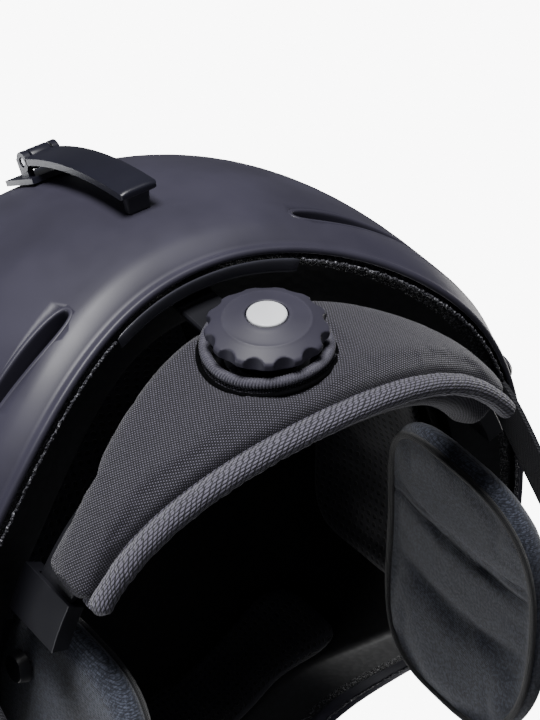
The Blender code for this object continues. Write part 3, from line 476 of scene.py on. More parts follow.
@dataclass(frozen=True)
class MeshLining:
    """Sports lining: smooth jersey pierced by rows of small round holes."""

    name: str
    colour: Colour
    pitch: float = 2.6 * MM
    hole: float = 0.3

    def material(self) -> bpy.types.Material:
        """Return the finish as a material.

        Returns:
            The finished material.
        """
        made = Recipe(self.name, self.colour, 0.8)
        made.set("Sheen Weight", 0.25)
        along, across = made.lay()
        first = made.wave(along, self.pitch)
        second = made.wave(across, self.pitch)
        dots = made.math("MULTIPLY", made.math("ABSOLUTE", first), made.math("ABSOLUTE", second))
        cloth = made.span(dots, 1 - self.hole - 0.12, 1 - self.hole + 0.08, (1.0, 0.0))
        made.dress(made.mix(cloth, tuple(c * 0.15 for c in self.colour), self.colour))
        made.bump(cloth, 0.4 * MM)
        made.bump(made.noise(0.5 * MM, 3.0), 0.06 * MM)
        return made.material


@dataclass(frozen=True)
class Webbing:
    """Flat woven strap: fine chevron ribs and a raised selvedge along both edges, with painted shade between
    the ribs and lighter crowns.
    """

    name: str
    colour: Colour
    width: float = 14 * MM
    rib: float = 1.05 * MM
    thread: float = 0.5 * MM

    def material(self) -> bpy.types.Material:
        """Return the finish as a material.

        Returns:
            The finished material.
        """
        made = Recipe(self.name, self.colour, 0.62)
        made.set("Specular IOR Level", 0.3)
        made.set("Sheen Weight", 0.04)
        along, across = made.lay()
        fold = made.math("PINGPONG", across, self.width / 4)
        chevron = made.math("ABSOLUTE", made.wave(made.math("ADD", along, fold), self.rib))
        yarn = made.math("ABSOLUTE", made.wave(across, self.thread))
        strand = made.span(yarn, 0.0, 0.6, (0.6, 1.0))
        height = made.math("MULTIPLY", made.math("POWER", chevron, 0.7), strand)
        # The colour follows the ribs' relief: painted shade in the grooves and painted highlight on the
        # crowns.
        dark = tuple(c * 0.4 for c in self.colour)
        light = tuple(c * 1.5 for c in self.colour)
        made.dress(made.mix(made.span(height, 0.2, 0.9), dark, light))
        made.bump(height, 0.14 * MM)
        return made.material


@dataclass(frozen=True)
class SpunThread:
    """Twisted sewing thread, painted darker between its raised fibres."""

    name: str
    colour: Colour
    fibre: float = 0.16 * MM

    def material(self) -> bpy.types.Material:
        """Return the finish as a material.

        Returns:
            The finished material.
        """
        made = Recipe(self.name, self.colour, 0.6)
        made.set("Sheen Weight", 0.3)
        fibre = made.noise(self.fibre, 3.0)
        # Lighter on the raised fibres and darker between them, by the same noise as the relief: painted
        # shade.
        dark = tuple(c * 0.5 for c in self.colour)
        light = tuple(c * 1.45 for c in self.colour)
        made.dress(made.mix(made.span(fibre, 0.35, 0.65), dark, light))
        made.bump(fibre, 0.05 * MM)
        return made.material


@dataclass(frozen=True)
class TurnedSteel:
    """Plated steel with fine turning marks."""

    name: str
    colour: Colour = (0.55, 0.55, 0.57)
    roughness: float = 0.28

    def material(self) -> bpy.types.Material:
        """Return the finish as a material.

        Returns:
            The finished material.
        """
        made = Recipe(self.name, self.colour, self.roughness, 1.0)
        marks = made.noise(0.25 * MM, 2.0)
        broad = made.noise(3 * MM, 3.0)
        made.dress(roughness=made.math("MULTIPLY_ADD", broad, 0.2, self.roughness - 0.1))
        made.bump(marks, 0.01 * MM)
        return made.material


@dataclass(frozen=True)
class Palette:
    """Every finish of the helmet, by the part of it that wears the finish."""

    shell: MouldedPlastic = MouldedPlastic("shell_satin", (0.047, 0.044, 0.066), 0.43, 0.5 * MM, 0.006 * MM)
    clip: MouldedPlastic = MouldedPlastic("clip_satin", (0.014, 0.014, 0.024), 0.34, 0.3 * MM, 0.008 * MM)
    foam: BeadFoam = BeadFoam("liner_bead_foam", (0.006, 0.006, 0.008))
    cut_foam: BeadFoam = BeadFoam("liner_cut_edge", (0.004, 0.004, 0.006), 1.6 * MM, 0.5 * MM, 0.12)
    torn_foam: BeadFoam = BeadFoam("liner_torn_edge", (0.060, 0.059, 0.075), 0.8 * MM, 0.25 * MM, 0.3)
    trim: MouldedPlastic = MouldedPlastic("edge_trim", (0.050, 0.050, 0.064), 0.22)
    nape: PlainWeave = PlainWeave("nape_weave", (0.135, 0.124, 0.172), (0.003, 0.003, 0.006), 0.5 * MM, 12.0)
    binding: RibKnit = RibKnit("binding_knit", (0.150, 0.140, 0.190), (0.008, 0.008, 0.013))
    stitching: SpunThread = SpunThread("overlock_thread", (0.070, 0.066, 0.092))
    # Near-black finish for the band round the dial ring: a painted shadow in the groove round the ring.
    groove_shade: Fleece = Fleece("groove_shadow", (0.0015, 0.0015, 0.002))
    lining: MeshLining = MeshLining("lining_mesh", (0.020, 0.020, 0.028))
    heather: HeatherKnit = HeatherKnit("ear_heather", (0.022, 0.026, 0.042), (0.100, 0.114, 0.160))
    fleece: Fleece = Fleece("ear_fleece", (0.0045, 0.004, 0.0055))
    piping: RibKnit = RibKnit("black_piping", (0.016, 0.016, 0.020), (0.004, 0.004, 0.005),
                              0.5 * MM, 0.6 * MM)
    dial: MouldedPlastic = MouldedPlastic("dial_soft_touch", (0.045, 0.042, 0.063), 0.52,
                                          0.3 * MM, 0.010 * MM)
    cap: MouldedPlastic = MouldedPlastic("cap_white", (0.93, 0.94, 0.98), 0.38, 0.3 * MM, 0.004 * MM)
    nylon: MouldedPlastic = MouldedPlastic("gear_nylon", (0.62, 0.60, 0.54), 0.45)
    black: MouldedPlastic = MouldedPlastic("black_moulding", (0.012, 0.012, 0.016), 0.38)
    band: MouldedPlastic = MouldedPlastic("band_nylon", (0.014, 0.014, 0.018), 0.5, 0.25 * MM, 0.02 * MM)
    rubber: MouldedPlastic = MouldedPlastic("keeper_rubber", (0.016, 0.016, 0.018), 0.72, 0.4 * MM, 0.03 * MM)
    rivet: MouldedPlastic = MouldedPlastic("rivet_coat", (0.045, 0.044, 0.058), 0.34, coat=0.3)
    webbing: Webbing = Webbing("strap_webbing", (0.016, 0.016, 0.020))
    steel: TurnedSteel = TurnedSteel("plated_steel")


# ------------------------------------------------------------------------------ mesh helpers

def smooth_step(value: np.ndarray, start: float, end: float) -> np.ndarray:
    """Return 0 before start, 1 after end, and a smooth rise between them."""
    t = np.clip((np.asarray(value, float) - start) / (end - start), 0.0, 1.0)
    return t * t * (3 - 2 * t)


def unit(vectors: np.ndarray) -> np.ndarray:
    """Return vectors scaled to a length of one."""
    return vectors / np.maximum(np.linalg.norm(vectors, axis=-1, keepdims=True), 1e-12)


def lengths(points: np.ndarray, axis: int, wrap: bool) -> np.ndarray:
    """Measure mean running length along one axis of a grid.

    Args:
        points: Rows by columns by three.
        axis: 0 to measure down the rows, 1 across the columns.
        wrap: Whether the grid closes on itself along that axis.

    Returns:
        Running length at each row or column, with one more where the grid closes.
    """
    if wrap:
        points = np.concatenate([points, points.take([0], axis=axis)], axis=axis)
    steps = np.linalg.norm(np.diff(points, axis=axis), axis=-1).mean(axis=1 - axis)
    return np.concatenate([[0.0], np.cumsum(steps)])


def new_piece(name: str, mesh: bpy.types.Mesh, sharp: float = 50.0) -> Object:
    """Link a mesh to the scene as a smooth-shaded piece.

    Args:
        name: Name of the piece.
        mesh: Its mesh.
        sharp: Angle in degrees from which an edge stays sharp.

    Returns:
        The piece.
    """
    mesh.shade_smooth()
    mesh.set_sharp_from_angle(angle=radians(sharp))
    piece = bpy.data.objects.new(name, mesh)
    bpy.context.scene.collection.objects.link(piece)
    return piece


def face_outward(mesh: bpy.types.Mesh) -> None:
    """Turn all of a closed mesh's faces outward.

    Args:
        mesh: The closed mesh.
    """
    bm = bmesh.new()
    bm.from_mesh(mesh)
    bmesh.ops.recalc_face_normals(bm, faces=bm.faces)
    bm.to_mesh(mesh)
    bm.free()


def skin(name: str, points: np.ndarray, rows_close: bool = False, columns_close: bool = True,
         caps: bool = True, sharp: float = 50.0, lay: Optional[np.ndarray] = None) -> Object:
    """Skin a grid of points into a piece with its lay in a UV layer.

    Args:
        name: Name of the piece.
        points: Rows by columns by three.
        rows_close: Whether the last row joins the first.
        columns_close: Whether the last column joins the first.
        caps: Whether open end rows are closed with a face.
        sharp: Angle in degrees from which an edge stays sharp.
        lay: Distances along the rows' run and across it at each corner; measured if left out.

    Returns:
        The piece.
    """
    rows, columns = points.shape[:2]
    down = np.arange(rows if rows_close else rows - 1)
    across = np.arange(columns if columns_close else columns - 1)
    r, c = (grid.ravel() for grid in np.meshgrid(down, across, indexing="ij"))
    r2, c2 = (r + 1) % rows, (c + 1) % columns
    quads = np.stack([r * columns + c, r * columns + c2, r2 * columns + c2, r2 * columns + c], axis=1)
    v, u = lengths(points, 1, columns_close), lengths(points, 0, rows_close)
    if lay is None:
        lay = np.stack(np.meshgrid(u, v, indexing="ij"), axis=-1)
    corners = ((r, c), (r, c + 1), (r + 1, c + 1), (r + 1, c))
    lay = np.stack([lay[a, b] for a, b in corners], axis=1).reshape(-1, 2)
    faces = quads.tolist()
    if caps and columns_close and not rows_close:
        faces += [list(range(columns)), [(rows - 1) * columns + i for i in range(columns)]]
        ends = np.stack([np.zeros(columns), v[:-1]], axis=1)
        lay = np.concatenate([lay, ends, ends])
    mesh = bpy.data.meshes.new(name)
    mesh.from_pydata(points.reshape(-1, 3).tolist(), [], faces)
    mesh.uv_layers.new(name=LAY).data.foreach_set("uv", lay.astype(np.float32).ravel())
    face_outward(mesh)
    return new_piece(name, mesh, sharp)


def sweep(name: str, path: np.ndarray, section: np.ndarray, side: np.ndarray, closed: bool = False,
          caps: bool = True, sharp: float = 50.0) -> Object:
    """Carry a section along a path.

    Args:
        name: Name of the piece.
        path: Points of the path.
        section: Closed section, as (along side, along lift) offsets, for all points or for each one.
        side: Direction of the section's width at each point, or one for all.
        closed: Whether the path closes on itself.
        caps: Whether the ends are closed.
        sharp: Angle in degrees from which an edge stays sharp.

    Returns:
        The piece.
    """
    ahead = np.roll(path, -1, axis=0) - np.roll(path, 1, axis=0)
    if not closed:
        ahead[0], ahead[-1] = path[1] - path[0], path[-1] - path[-2]
    ahead = unit(ahead)
    side = np.broadcast_to(side, path.shape)
    side = unit(side - ahead * (side * ahead).sum(axis=1, keepdims=True))
    lift = np.cross(ahead, side)
    section = np.broadcast_to(section, (len(path), *section.shape[-2:]))
    points = (path[:, None] + side[:, None] * section[..., :1] + lift[:, None] * section[..., 1:])
    return skin(name, points, rows_close=closed, caps=caps, sharp=sharp)


def round_section(width: float, height: float, corner: float, steps: int = 4) -> np.ndarray:
    """Outline a rectangle with round corners.

    Args:
        width: Full width.
        height: Full height.
        corner: Radius of the corners.
        steps: Points in each corner, less one.

    Returns:
        Points of the outline.
    """
    corner = min(corner, width / 2, height / 2)
    outline = []
    for quarter in range(4):
        start = quarter * pi / 2
        x = (width / 2 - corner) * (1 if quarter in (0, 3) else -1)
        y = (height / 2 - corner) * (1 if quarter in (0, 1) else -1)
        for i in range(steps + 1):
            turn = start + pi / 2 * i / steps
            outline.append((x + corner * cos(turn), y + corner * sin(turn)))
    return np.array(outline)


def oval_section(width: float, height: float, steps: int = 20, power: float = 2.0) -> np.ndarray:
    """Outline an oval, squarer for a higher power.

    Args:
        width: Full width.
        height: Full height.
        steps: Points round it.
        power: 2 for an ellipse, more for a squarer one.

    Returns:
        The outline's points.
    """
    turn = np.linspace(0, 2 * pi, steps, endpoint=False)
    c, s = np.cos(turn), np.sin(turn)
    k = (np.abs(c) ** power + np.abs(s) ** power) ** (-1 / power)
    return np.stack([width / 2 * k * c, height / 2 * k * s], axis=1)


def spline(points: Sequence[Sequence[float]], count: int) -> np.ndarray:
    """Draw a smooth curve through points.

    Args:
        points: Points that the curve passes through.
        count: Number of points wanted.

    Returns:
        The curve's points, evenly spread between the given ones.
    """
    base = np.array(points, float)
    ends = np.concatenate([[2 * base[0] - base[1]], base, [2 * base[-1] - base[-2]]])
    place = np.linspace(0, len(base) - 1, count)
    i = np.minimum(place.astype(int), len(base) - 2)
    t = (place - i)[:, None]
    p0, p1, p2, p3 = (ends[i + k] for k in range(4))
    return 0.5 * (2 * p1 + (p2 - p0) * t + (2 * p0 - 5 * p1 + 4 * p2 - p3) * t ** 2
                  + (3 * p1 - p0 - 3 * p2 + p3) * t ** 3)


def carve(piece: Object, cutter: Object) -> None:
    """Cut one closed piece out of another, and remove the cutter.

    Args:
        piece: The piece to cut.
        cutter: The closed piece that is cut out of it.
    """
    step = piece.modifiers.new("cut", "BOOLEAN")
    step.operation = "DIFFERENCE"
    step.solver = "EXACT"
    step.object = cutter
    settle(piece)
    bpy.data.objects.remove(cutter, do_unlink=True)


def settle(piece: Object) -> None:
    """Replace a piece's mesh by what its modifiers make of it.

    Args:
        piece: The piece to settle.
    """
    graph = bpy.context.evaluated_depsgraph_get()
    graph.update()
    mesh = bpy.data.meshes.new_from_object(piece.evaluated_get(graph), depsgraph=graph)
    piece.modifiers.clear()
    piece.data = mesh


def subdivide(piece: Object, levels: int = 1) -> None:
    """Put a subdivision surface on a piece.

    Args:
        piece: The piece to round.
        levels: How often each face is divided.
    """
    step = piece.modifiers.new("round", "SUBSURF")
    step.levels = levels
    step.render_levels = levels


@dataclass(frozen=True)
class Filling:
    """How a padded piece is blown up as cloth."""

    pressure: float = 4.0
    growth: float = 0.02
    cap: float = 3.0 * MM
    frames: int = 20
    stiffness: float = 12.0

    def swell(self, piece: Object, held: np.ndarray) -> None:
        """Blow a closed piece up as cloth, held along its seams, and keep the result.

        Args:
            piece: A closed piece.
            held: True for each vertex that a seam holds.
        """
        count = len(piece.data.vertices)
        start = np.empty(count * 3, np.float32)
        piece.data.vertices.foreach_get("co", start)
        seam = piece.vertex_groups.new(name="seam")
        seam.add([int(i) for i in np.flatnonzero(held)], 1.0, "REPLACE")
        step = piece.modifiers.new("cloth", "CLOTH")
        cloth = step.settings
        cloth.quality = 6
        cloth.mass = 0.25
        cloth.tension_stiffness = self.stiffness
        cloth.compression_stiffness = self.stiffness
        cloth.shear_stiffness = self.stiffness / 2
        cloth.bending_stiffness = 0.4
        cloth.use_pressure = True
        cloth.uniform_pressure_force = self.pressure
        cloth.shrink_min = -self.growth
        cloth.vertex_group_mass = "seam"
        cloth.effector_weights.gravity = 0.0
        step.point_cache.frame_start = 1
        step.point_cache.frame_end = self.frames
        scene = bpy.context.scene
        for number in range(1, self.frames + 1):
            scene.frame_set(number)
        graph = bpy.context.evaluated_depsgraph_get()
        blown = np.empty(count * 3, np.float32)
        piece.evaluated_get(graph).data.vertices.foreach_get("co", blown)
        piece.modifiers.remove(step)
        scene.frame_set(1)
        start, blown = start.reshape(-1, 3), blown.reshape(-1, 3)
        move = blown - start
        reach = np.linalg.norm(move, axis=1, keepdims=True)
        move *= self.cap * np.tanh(reach / self.cap) / np.maximum(reach, 1e-9)
        piece.data.vertices.foreach_set("co", (start + move).ravel())
        piece.data.update()
        log.info("blew up %s: up to %.1f mm", piece.name, np.linalg.norm(move, axis=1).max() / MM)


def finish_piece(piece: Object, finish: object, body: str = HELMET,
                 nodes: Sequence[str] = ()) -> Object:
    """Dress a piece, set the body it rides and hide the CAD nodes it stands for.

    Args:
        piece: The piece.
        finish: The finish it wears.
        body: The body it rides.
        nodes: CAD nodes it stands for.

    Returns:
        The piece.
    """
    piece.data.materials.clear()
    piece.data.materials.append(worn(finish))
    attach(piece, body)
    if nodes:
        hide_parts(*nodes)
    log.info("built %s with %d faces", piece.name, len(piece.data.polygons))
    return piece


def worn(finish: object) -> bpy.types.Material:
    """Return a finish's material, made once."""
    return bpy.data.materials.get(finish.name + "_finish") or finish.material()


# ------------------------------------------------------------------------------ helmet's form

@dataclass(frozen=True)
class HelmetForm:
    """The helmet's outer form, which the shell, foam, vents and clip all follow."""

    half_width: float = 110 * MM
    rear_length: float = 128 * MM
    front_length: float = 136 * MM
    centre_y: float = -28 * MM
    widest_z: float = 38 * MM
    crown_rise: float = 128 * MM
    plan_power: float = 2.15
    dome_power: float = 2.2
    rear_rim_z: float = 32 * MM
    side_rim_z: float = 11 * MM
    brow_rim_z: float = 56 * MM
    rear_arch_end: float = 54.0
    temple_start: float = 104.0
    brow_start: float = 148.0
    tuck: float = 3.5 * MM
    tuck_height: float = 14 * MM
    brim_flare: float = 5 * MM

    def brow_share(self, phi: np.ndarray) -> np.ndarray:
        """Return how far an angle is into the brow, from 0 to 1."""
        return smooth_step(np.abs((np.asarray(phi) + 180) % 360 - 180), self.temple_start, self.brow_start)

    def rim(self, phi: np.ndarray) -> np.ndarray:
        """Return the height of the shell's lower edge at each angle.

        Args:
            phi: Angles round the helmet in degrees.

        Returns:
            The heights.
        """
        angle = np.abs((np.asarray(phi) + 180) % 360 - 180)
        arch = np.cos(pi / 2 * np.minimum(1.0, angle / self.rear_arch_end)) ** 2
        low = self.side_rim_z + (self.rear_rim_z - self.side_rim_z) * arch
        return low + (self.brow_rim_z - self.side_rim_z) * self.brow_share(phi)

    def turn_in(self, phi: np.ndarray, rise: np.ndarray) -> np.ndarray:
        """Return how far the lower edge turns in, or out at the brow, at a height above the rim.

        Args:
            phi: Angles round the helmet in degrees.
            rise: Heights above the rim.

        Returns:
            How far the edge turns in.
        """
        left = np.maximum(0.0, 1 - rise / self.tuck_height) ** 2
        brow = self.brow_share(phi)
        return left * (self.tuck * (1 - brow) - self.brim_flare * brow)

    def points(self, phi: np.ndarray, z: np.ndarray, inset: np.ndarray = 0.0) -> np.ndarray:
        """Return points of the form, inset from its outer skin.

        Args:
            phi: Angles round the helmet.
            z: Heights.
            inset: Distances in from the skin.

        Returns:
            Points, in the shape of the arguments, by three.
        """
        turn = np.radians(np.asarray(phi, float))
        c, s = np.cos(turn), np.sin(turn)
        rise = np.clip((z - self.widest_z) / (self.crown_rise - inset), 0.0, 1.0)
        scale = (1 - rise ** self.dome_power) ** (1 / self.dome_power)
        length = np.where(c > 0, self.rear_length, self.front_length) - inset
        k = (np.abs(c) ** self.plan_power + np.abs(s) ** self.plan_power) ** (-1 / self.plan_power)
        x = (self.half_width - inset) * scale * k * s
        y = self.centre_y + length * scale * k * c
        return np.stack(np.broadcast_arrays(x, y, np.asarray(z, float)), axis=-1)

    def normals(self, phi: np.ndarray, z: np.ndarray, inset: np.ndarray = 0.0) -> np.ndarray:
        """Return outward directions of the form at points.

        Args:
            phi: Angles round the helmet in degrees.
            z: Heights.
            inset: Depths under the skin.

        Returns:
            One direction for each point.
        """
        along = self.points(phi + 0.5, z, inset) - self.points(phi - 0.5, z, inset)
        up = self.points(phi, z + 0.5 * MM, inset) - self.points(phi, z - 0.5 * MM, inset)
        return unit(np.cross(up, along))

    def levels(self, phi: np.ndarray, steps: Sequence[float], count: int, inset: float,
               lift: float) -> np.ndarray:
        """Return heights of a skin's rows at each angle.

        Args:
            phi: Angles of the columns.
            steps: Heights of the rows next to the edge, above it.
            count: Rows from there to the crown.
            inset: Distance of the skin from the outer skin.
            lift: Height of the skin's edge above the shell's.

        Returns:
            Heights, rows by columns.
        """
        top = self.widest_z + self.crown_rise - inset
        edge = self.rim(phi) + lift
        near = edge[None] + np.array(steps)[:, None]
        start = near[-1]
        share = np.sin(np.radians(np.linspace(0, 88.6, count + 1)[1:])) ** (2 / self.dome_power)
        far = start[None] + (top - start)[None] * share[:, None]
        return np.concatenate([near, far])


FORM = HelmetForm()


# ------------------------------------------------------------------------------ shell and foam

@dataclass(frozen=True)
class Vent:
    """A tapered slot through shell and foam on one side of the helmet."""

    place: str
    side: Side
    angles: Pair
    levels: Pair
    heights: Pair
    power: float = 2.6
    count: int = 72

    def outline(self, grow: float, depth: float) -> np.ndarray:
        """Return the slot's outline.

        Args:
            grow: How far it stands outside the slot.
            depth: How far in from the outer skin.

        Returns:
            Points round the slot.
        """
        turn = np.linspace(0, 2 * pi, self.count, endpoint=False)
        c, s = np.cos(turn), np.sin(turn)
        k = (np.abs(c) ** self.power + np.abs(s) ** self.power) ** (-1 / self.power)
        ends = FORM.points(np.array(self.angles) * self.side.value, np.array(self.levels))
        length = float(np.linalg.norm(ends[1] - ends[0]))
        t = 0.5 + (0.5 + grow / length) * k * c
        phi = self.side.value * (self.angles[0] + (self.angles[1] - self.angles[0]) * t)
        level = self.levels[0] + (self.levels[1] - self.levels[0]) * t
        half = (self.heights[0] + (self.heights[1] - self.heights[0]) * np.clip(t, 0, 1)) / 2 + grow
        up = unit(FORM.points(phi, level + MM) - FORM.points(phi, level - MM))
        return FORM.points(phi, level) + up * (half * k * s)[:, None] - FORM.normals(phi, level) * depth

    def cutter(self, grow: float, near: float, far: float) -> Object:
        """Return a closed block through the slot, between two depths."""
        depths = np.linspace(near, far, 4)
        return skin("vent_cutter", np.stack([self.outline(grow, depth) for depth in depths]))

    def scoop(self) -> Object:
        """Return the slot's moulded wall with its rounded lip.

        Returns:
            The wall as a closed piece.
        """
        profile = ((1.75, 0.5), (1.5, 0.02), (1.2, -0.07), (0.8, -0.1), (0.45, -0.03), (0.2, 0.14),
                   (0.05, 0.45), (-0.02, 1.0), (-0.1, 2.4), (-0.22, 4.4), (-0.38, 6.6), (-0.3, 7.0),
                   (0.0, 7.1), (0.25, 6.6), (0.45, 4.4), (0.6, 2.4), (1.2, 0.9))
        rings = [self.outline(grow * MM, depth * MM) for grow, depth in profile]
        return skin(f"{self.place}_vent_scoop_{self.side.word}", np.stack(rings), rows_close=True, sharp=80)


@dataclass(frozen=True)
class Shell:
    """The moulded shell, the bead-foam core inside it and the vents through both."""

    palette: Palette
    wall: float = 2 * MM
    gap: float = 1 * MM
    foam: float = 24 * MM
    columns: int = 264
    rows: int = 34
    vents: tuple = (("rear", (20, 43), (40 * MM, 33 * MM), (7 * MM, 2.6 * MM)),
                    ("crown", (38, 100), (112 * MM, 116 * MM), (8 * MM, 6 * MM)),
                    ("brow", (150, 171), (92 * MM, 96 * MM), (6 * MM, 9 * MM)))
    edge: tuple = ((0.25, 8.0), (0.7, 5.2), (1.1, 3.9), (1.25, 3.3), (1.2, 2.8), (0.9, 2.2),
                   (0.5, 1.6), (0.18, 1.1), (0.08, 0.75), (0.12, 0.4), (0.35, 0.14), (0.7, 0.02),
                   (1.15, 0.02), (1.6, 0.14), (1.9, 0.4), (2.0, 0.8), (2.0, 1.4))
    foam_edge: tuple = ((3.0, 9.0), (3.0, 5.4), (3.5, 4.4), (4.2, 3.6), (4.8, 3.1), (5.4, 3.0),
                        (6.2, 3.1), (6.8, 3.3), (8.4, 3.6), (12.0, 4.2), (18.0, 4.6), (23.5, 5.0),
                        (25.4, 5.8), (26.0, 8.0))

    def all_vents(self) -> list[Vent]:
        """Return the vents of both sides."""
        return [Vent(place, side, *sizes) for place, *sizes in self.vents for side in Side]

    def grid(self, edge: Sequence[Pair], outer: float, inner: float,
             rows: int) -> tuple[np.ndarray, np.ndarray]:
        """Lay rows from the crown down the outside, round the lower edge and up the inside.

        Args:
            edge: Insets and heights above the rim of the rows round the edge, in millimetres.
            outer: Inset of the outside.
            inner: Inset of the inside.
            rows: Rows from the edge to the crown.

        Returns:
            The grid, and the place of each row in the list of edges, or -1 elsewhere.
        """
        phi = np.linspace(0, 360, self.columns, endpoint=False)
        start = edge[0][1] * MM
        up = [start + step * MM for step in (1.5, 4, 8, 14)]
        outside = FORM.levels(phi, up, rows, outer, 0.0)[::-1]
        start = edge[-1][1] * MM
        up = [start + step * MM for step in (1.5, 4, 8, 14)]
        inside = FORM.levels(phi, up, rows, inner, 0.0)
        levels = [*outside, *(FORM.rim(phi) + lift * MM for _, lift in edge), *inside]
        insets = [outer] * len(outside) + [inset * MM for inset, _ in edge] + [inner] * len(inside)
        marks = [-1] * len(outside) + list(range(len(edge))) + [-1] * len(inside)
        grid = []
        for level, inset in zip(levels, insets):
            fade = 1.0 - float(smooth_step(inset, 8 * MM, 20 * MM))
            grid.append(FORM.points(phi, level, inset + fade * FORM.turn_in(phi, level - FORM.rim(phi))))
        return np.stack(grid), np.array(marks)

    def build_skin(self) -> Object:
        """Return the shell with its vent holes.

        Returns:
            The shell's skin.
        """
        grid, _ = self.grid(self.edge, 0.0, self.wall, self.rows)
        shell = skin("helmet_shell", grid)
        for vent in self.all_vents():
            carve(shell, vent.cutter(0.95 * MM, -4 * MM, 3.2 * MM))
        return finish_piece(shell, self.palette.shell, nodes=["outer_shell"])

    def build_foam(self) -> Object:
        """Return the foam core, with its rough cut edge.

        Returns:
            The foam liner.
        """
        grid, marks = self.grid(self.foam_edge, self.wall + self.gap, self.wall + self.foam, 22)
        core = skin("foam_core", grid)
        core.data.materials.append(worn(self.palette.foam))
        core.data.materials.append(worn(self.palette.cut_foam))
        rough = np.repeat((marks[:-1] >= 3) & (marks[:-1] <= 7), self.columns).astype(np.int32)
        rough = np.concatenate([rough, np.zeros(len(core.data.polygons) - len(rough), np.int32)])
        core.data.polygons.foreach_set("material_index", rough)
        for vent in self.all_vents():
            carve(core, vent.cutter(0.8 * MM, -1 * MM, 46 * MM))
        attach(core, HELMET)
        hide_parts("foam_liner")
        log.info("built %s", core.name)
        return core

    def build_insert(self) -> Object:
        """Return the smooth trim set in the foam's edge at the nape.

        Returns:
            The trim.
        """
        phi = np.linspace(-17, 17, 60)
        turn = np.linspace(0, 2 * pi, 20, endpoint=False)
        middle, half = (8.6 * MM, -0.45 * MM), (2.2 * MM, 0.5 * MM)
        rings = []
        for angle in phi:
            share = min(1.0, (17 - abs(angle)) / 1.2 + 0.25)
            c, s = np.cos(turn), np.sin(turn)
            k = (np.abs(c) ** 3 + np.abs(s) ** 3) ** (-1 / 3)
            inset = middle[0] + half[0] * k * c * (0.8 + 0.2 * share)
            level = FORM.rim(angle) + middle[1] + half[1] * k * s * share
            rings.append(FORM.points(np.full(len(turn), angle), level, inset))
        insert = skin("rear_edge_trim", np.stack(rings))
        return finish_piece(insert, self.palette.trim, nodes=["rear_edge_insert"])

    def build_torn_edge(self) -> Object:
        """Return the torn line of beads that the mould left along the foam's edge.

        Returns:
            The rough edge.
        """
        phi = np.linspace(17.4, 342.6, 2600)
        ragged = sum(np.sin(phi * rate + shift) for rate, shift in
                     ((1.9, 0.3), (3.7, 1.1), (6.1, 2.0), (9.7, 0.7), (14.3, 2.9), (22.1, 1.7))) / 6
        inset = (4.4 + 0.45 * ragged + 0.25 * np.roll(ragged, 97)) * MM
        level = FORM.rim(phi) + (-0.45 + 0.35 * np.roll(ragged, 31)) * MM
        path = FORM.points(phi, level, inset + FORM.turn_in(phi, 2 * MM))
        section = oval_section(0.75 * MM, 1.05 * MM, 12)
        scale = 0.72 + 0.5 * np.abs(ragged) + 0.3 * np.abs(np.roll(ragged, 53))
        edge = sweep("foam_torn_edge", path, section[None] * scale[:, None, None], (0, 0, 1), sharp=80)
        return finish_piece(edge, self.palette.torn_foam)

    def build(self) -> None:
        """Build every piece of the shell."""
        self.build_skin()
        self.build_foam()
        self.build_insert()
        self.build_torn_edge()
        for vent in self.all_vents():
            finish_piece(vent.scoop(), self.palette.shell)


# ------------------------------------------------------------------------------ cushions

Place = Callable[[np.ndarray, np.ndarray, np.ndarray], np.ndarray]


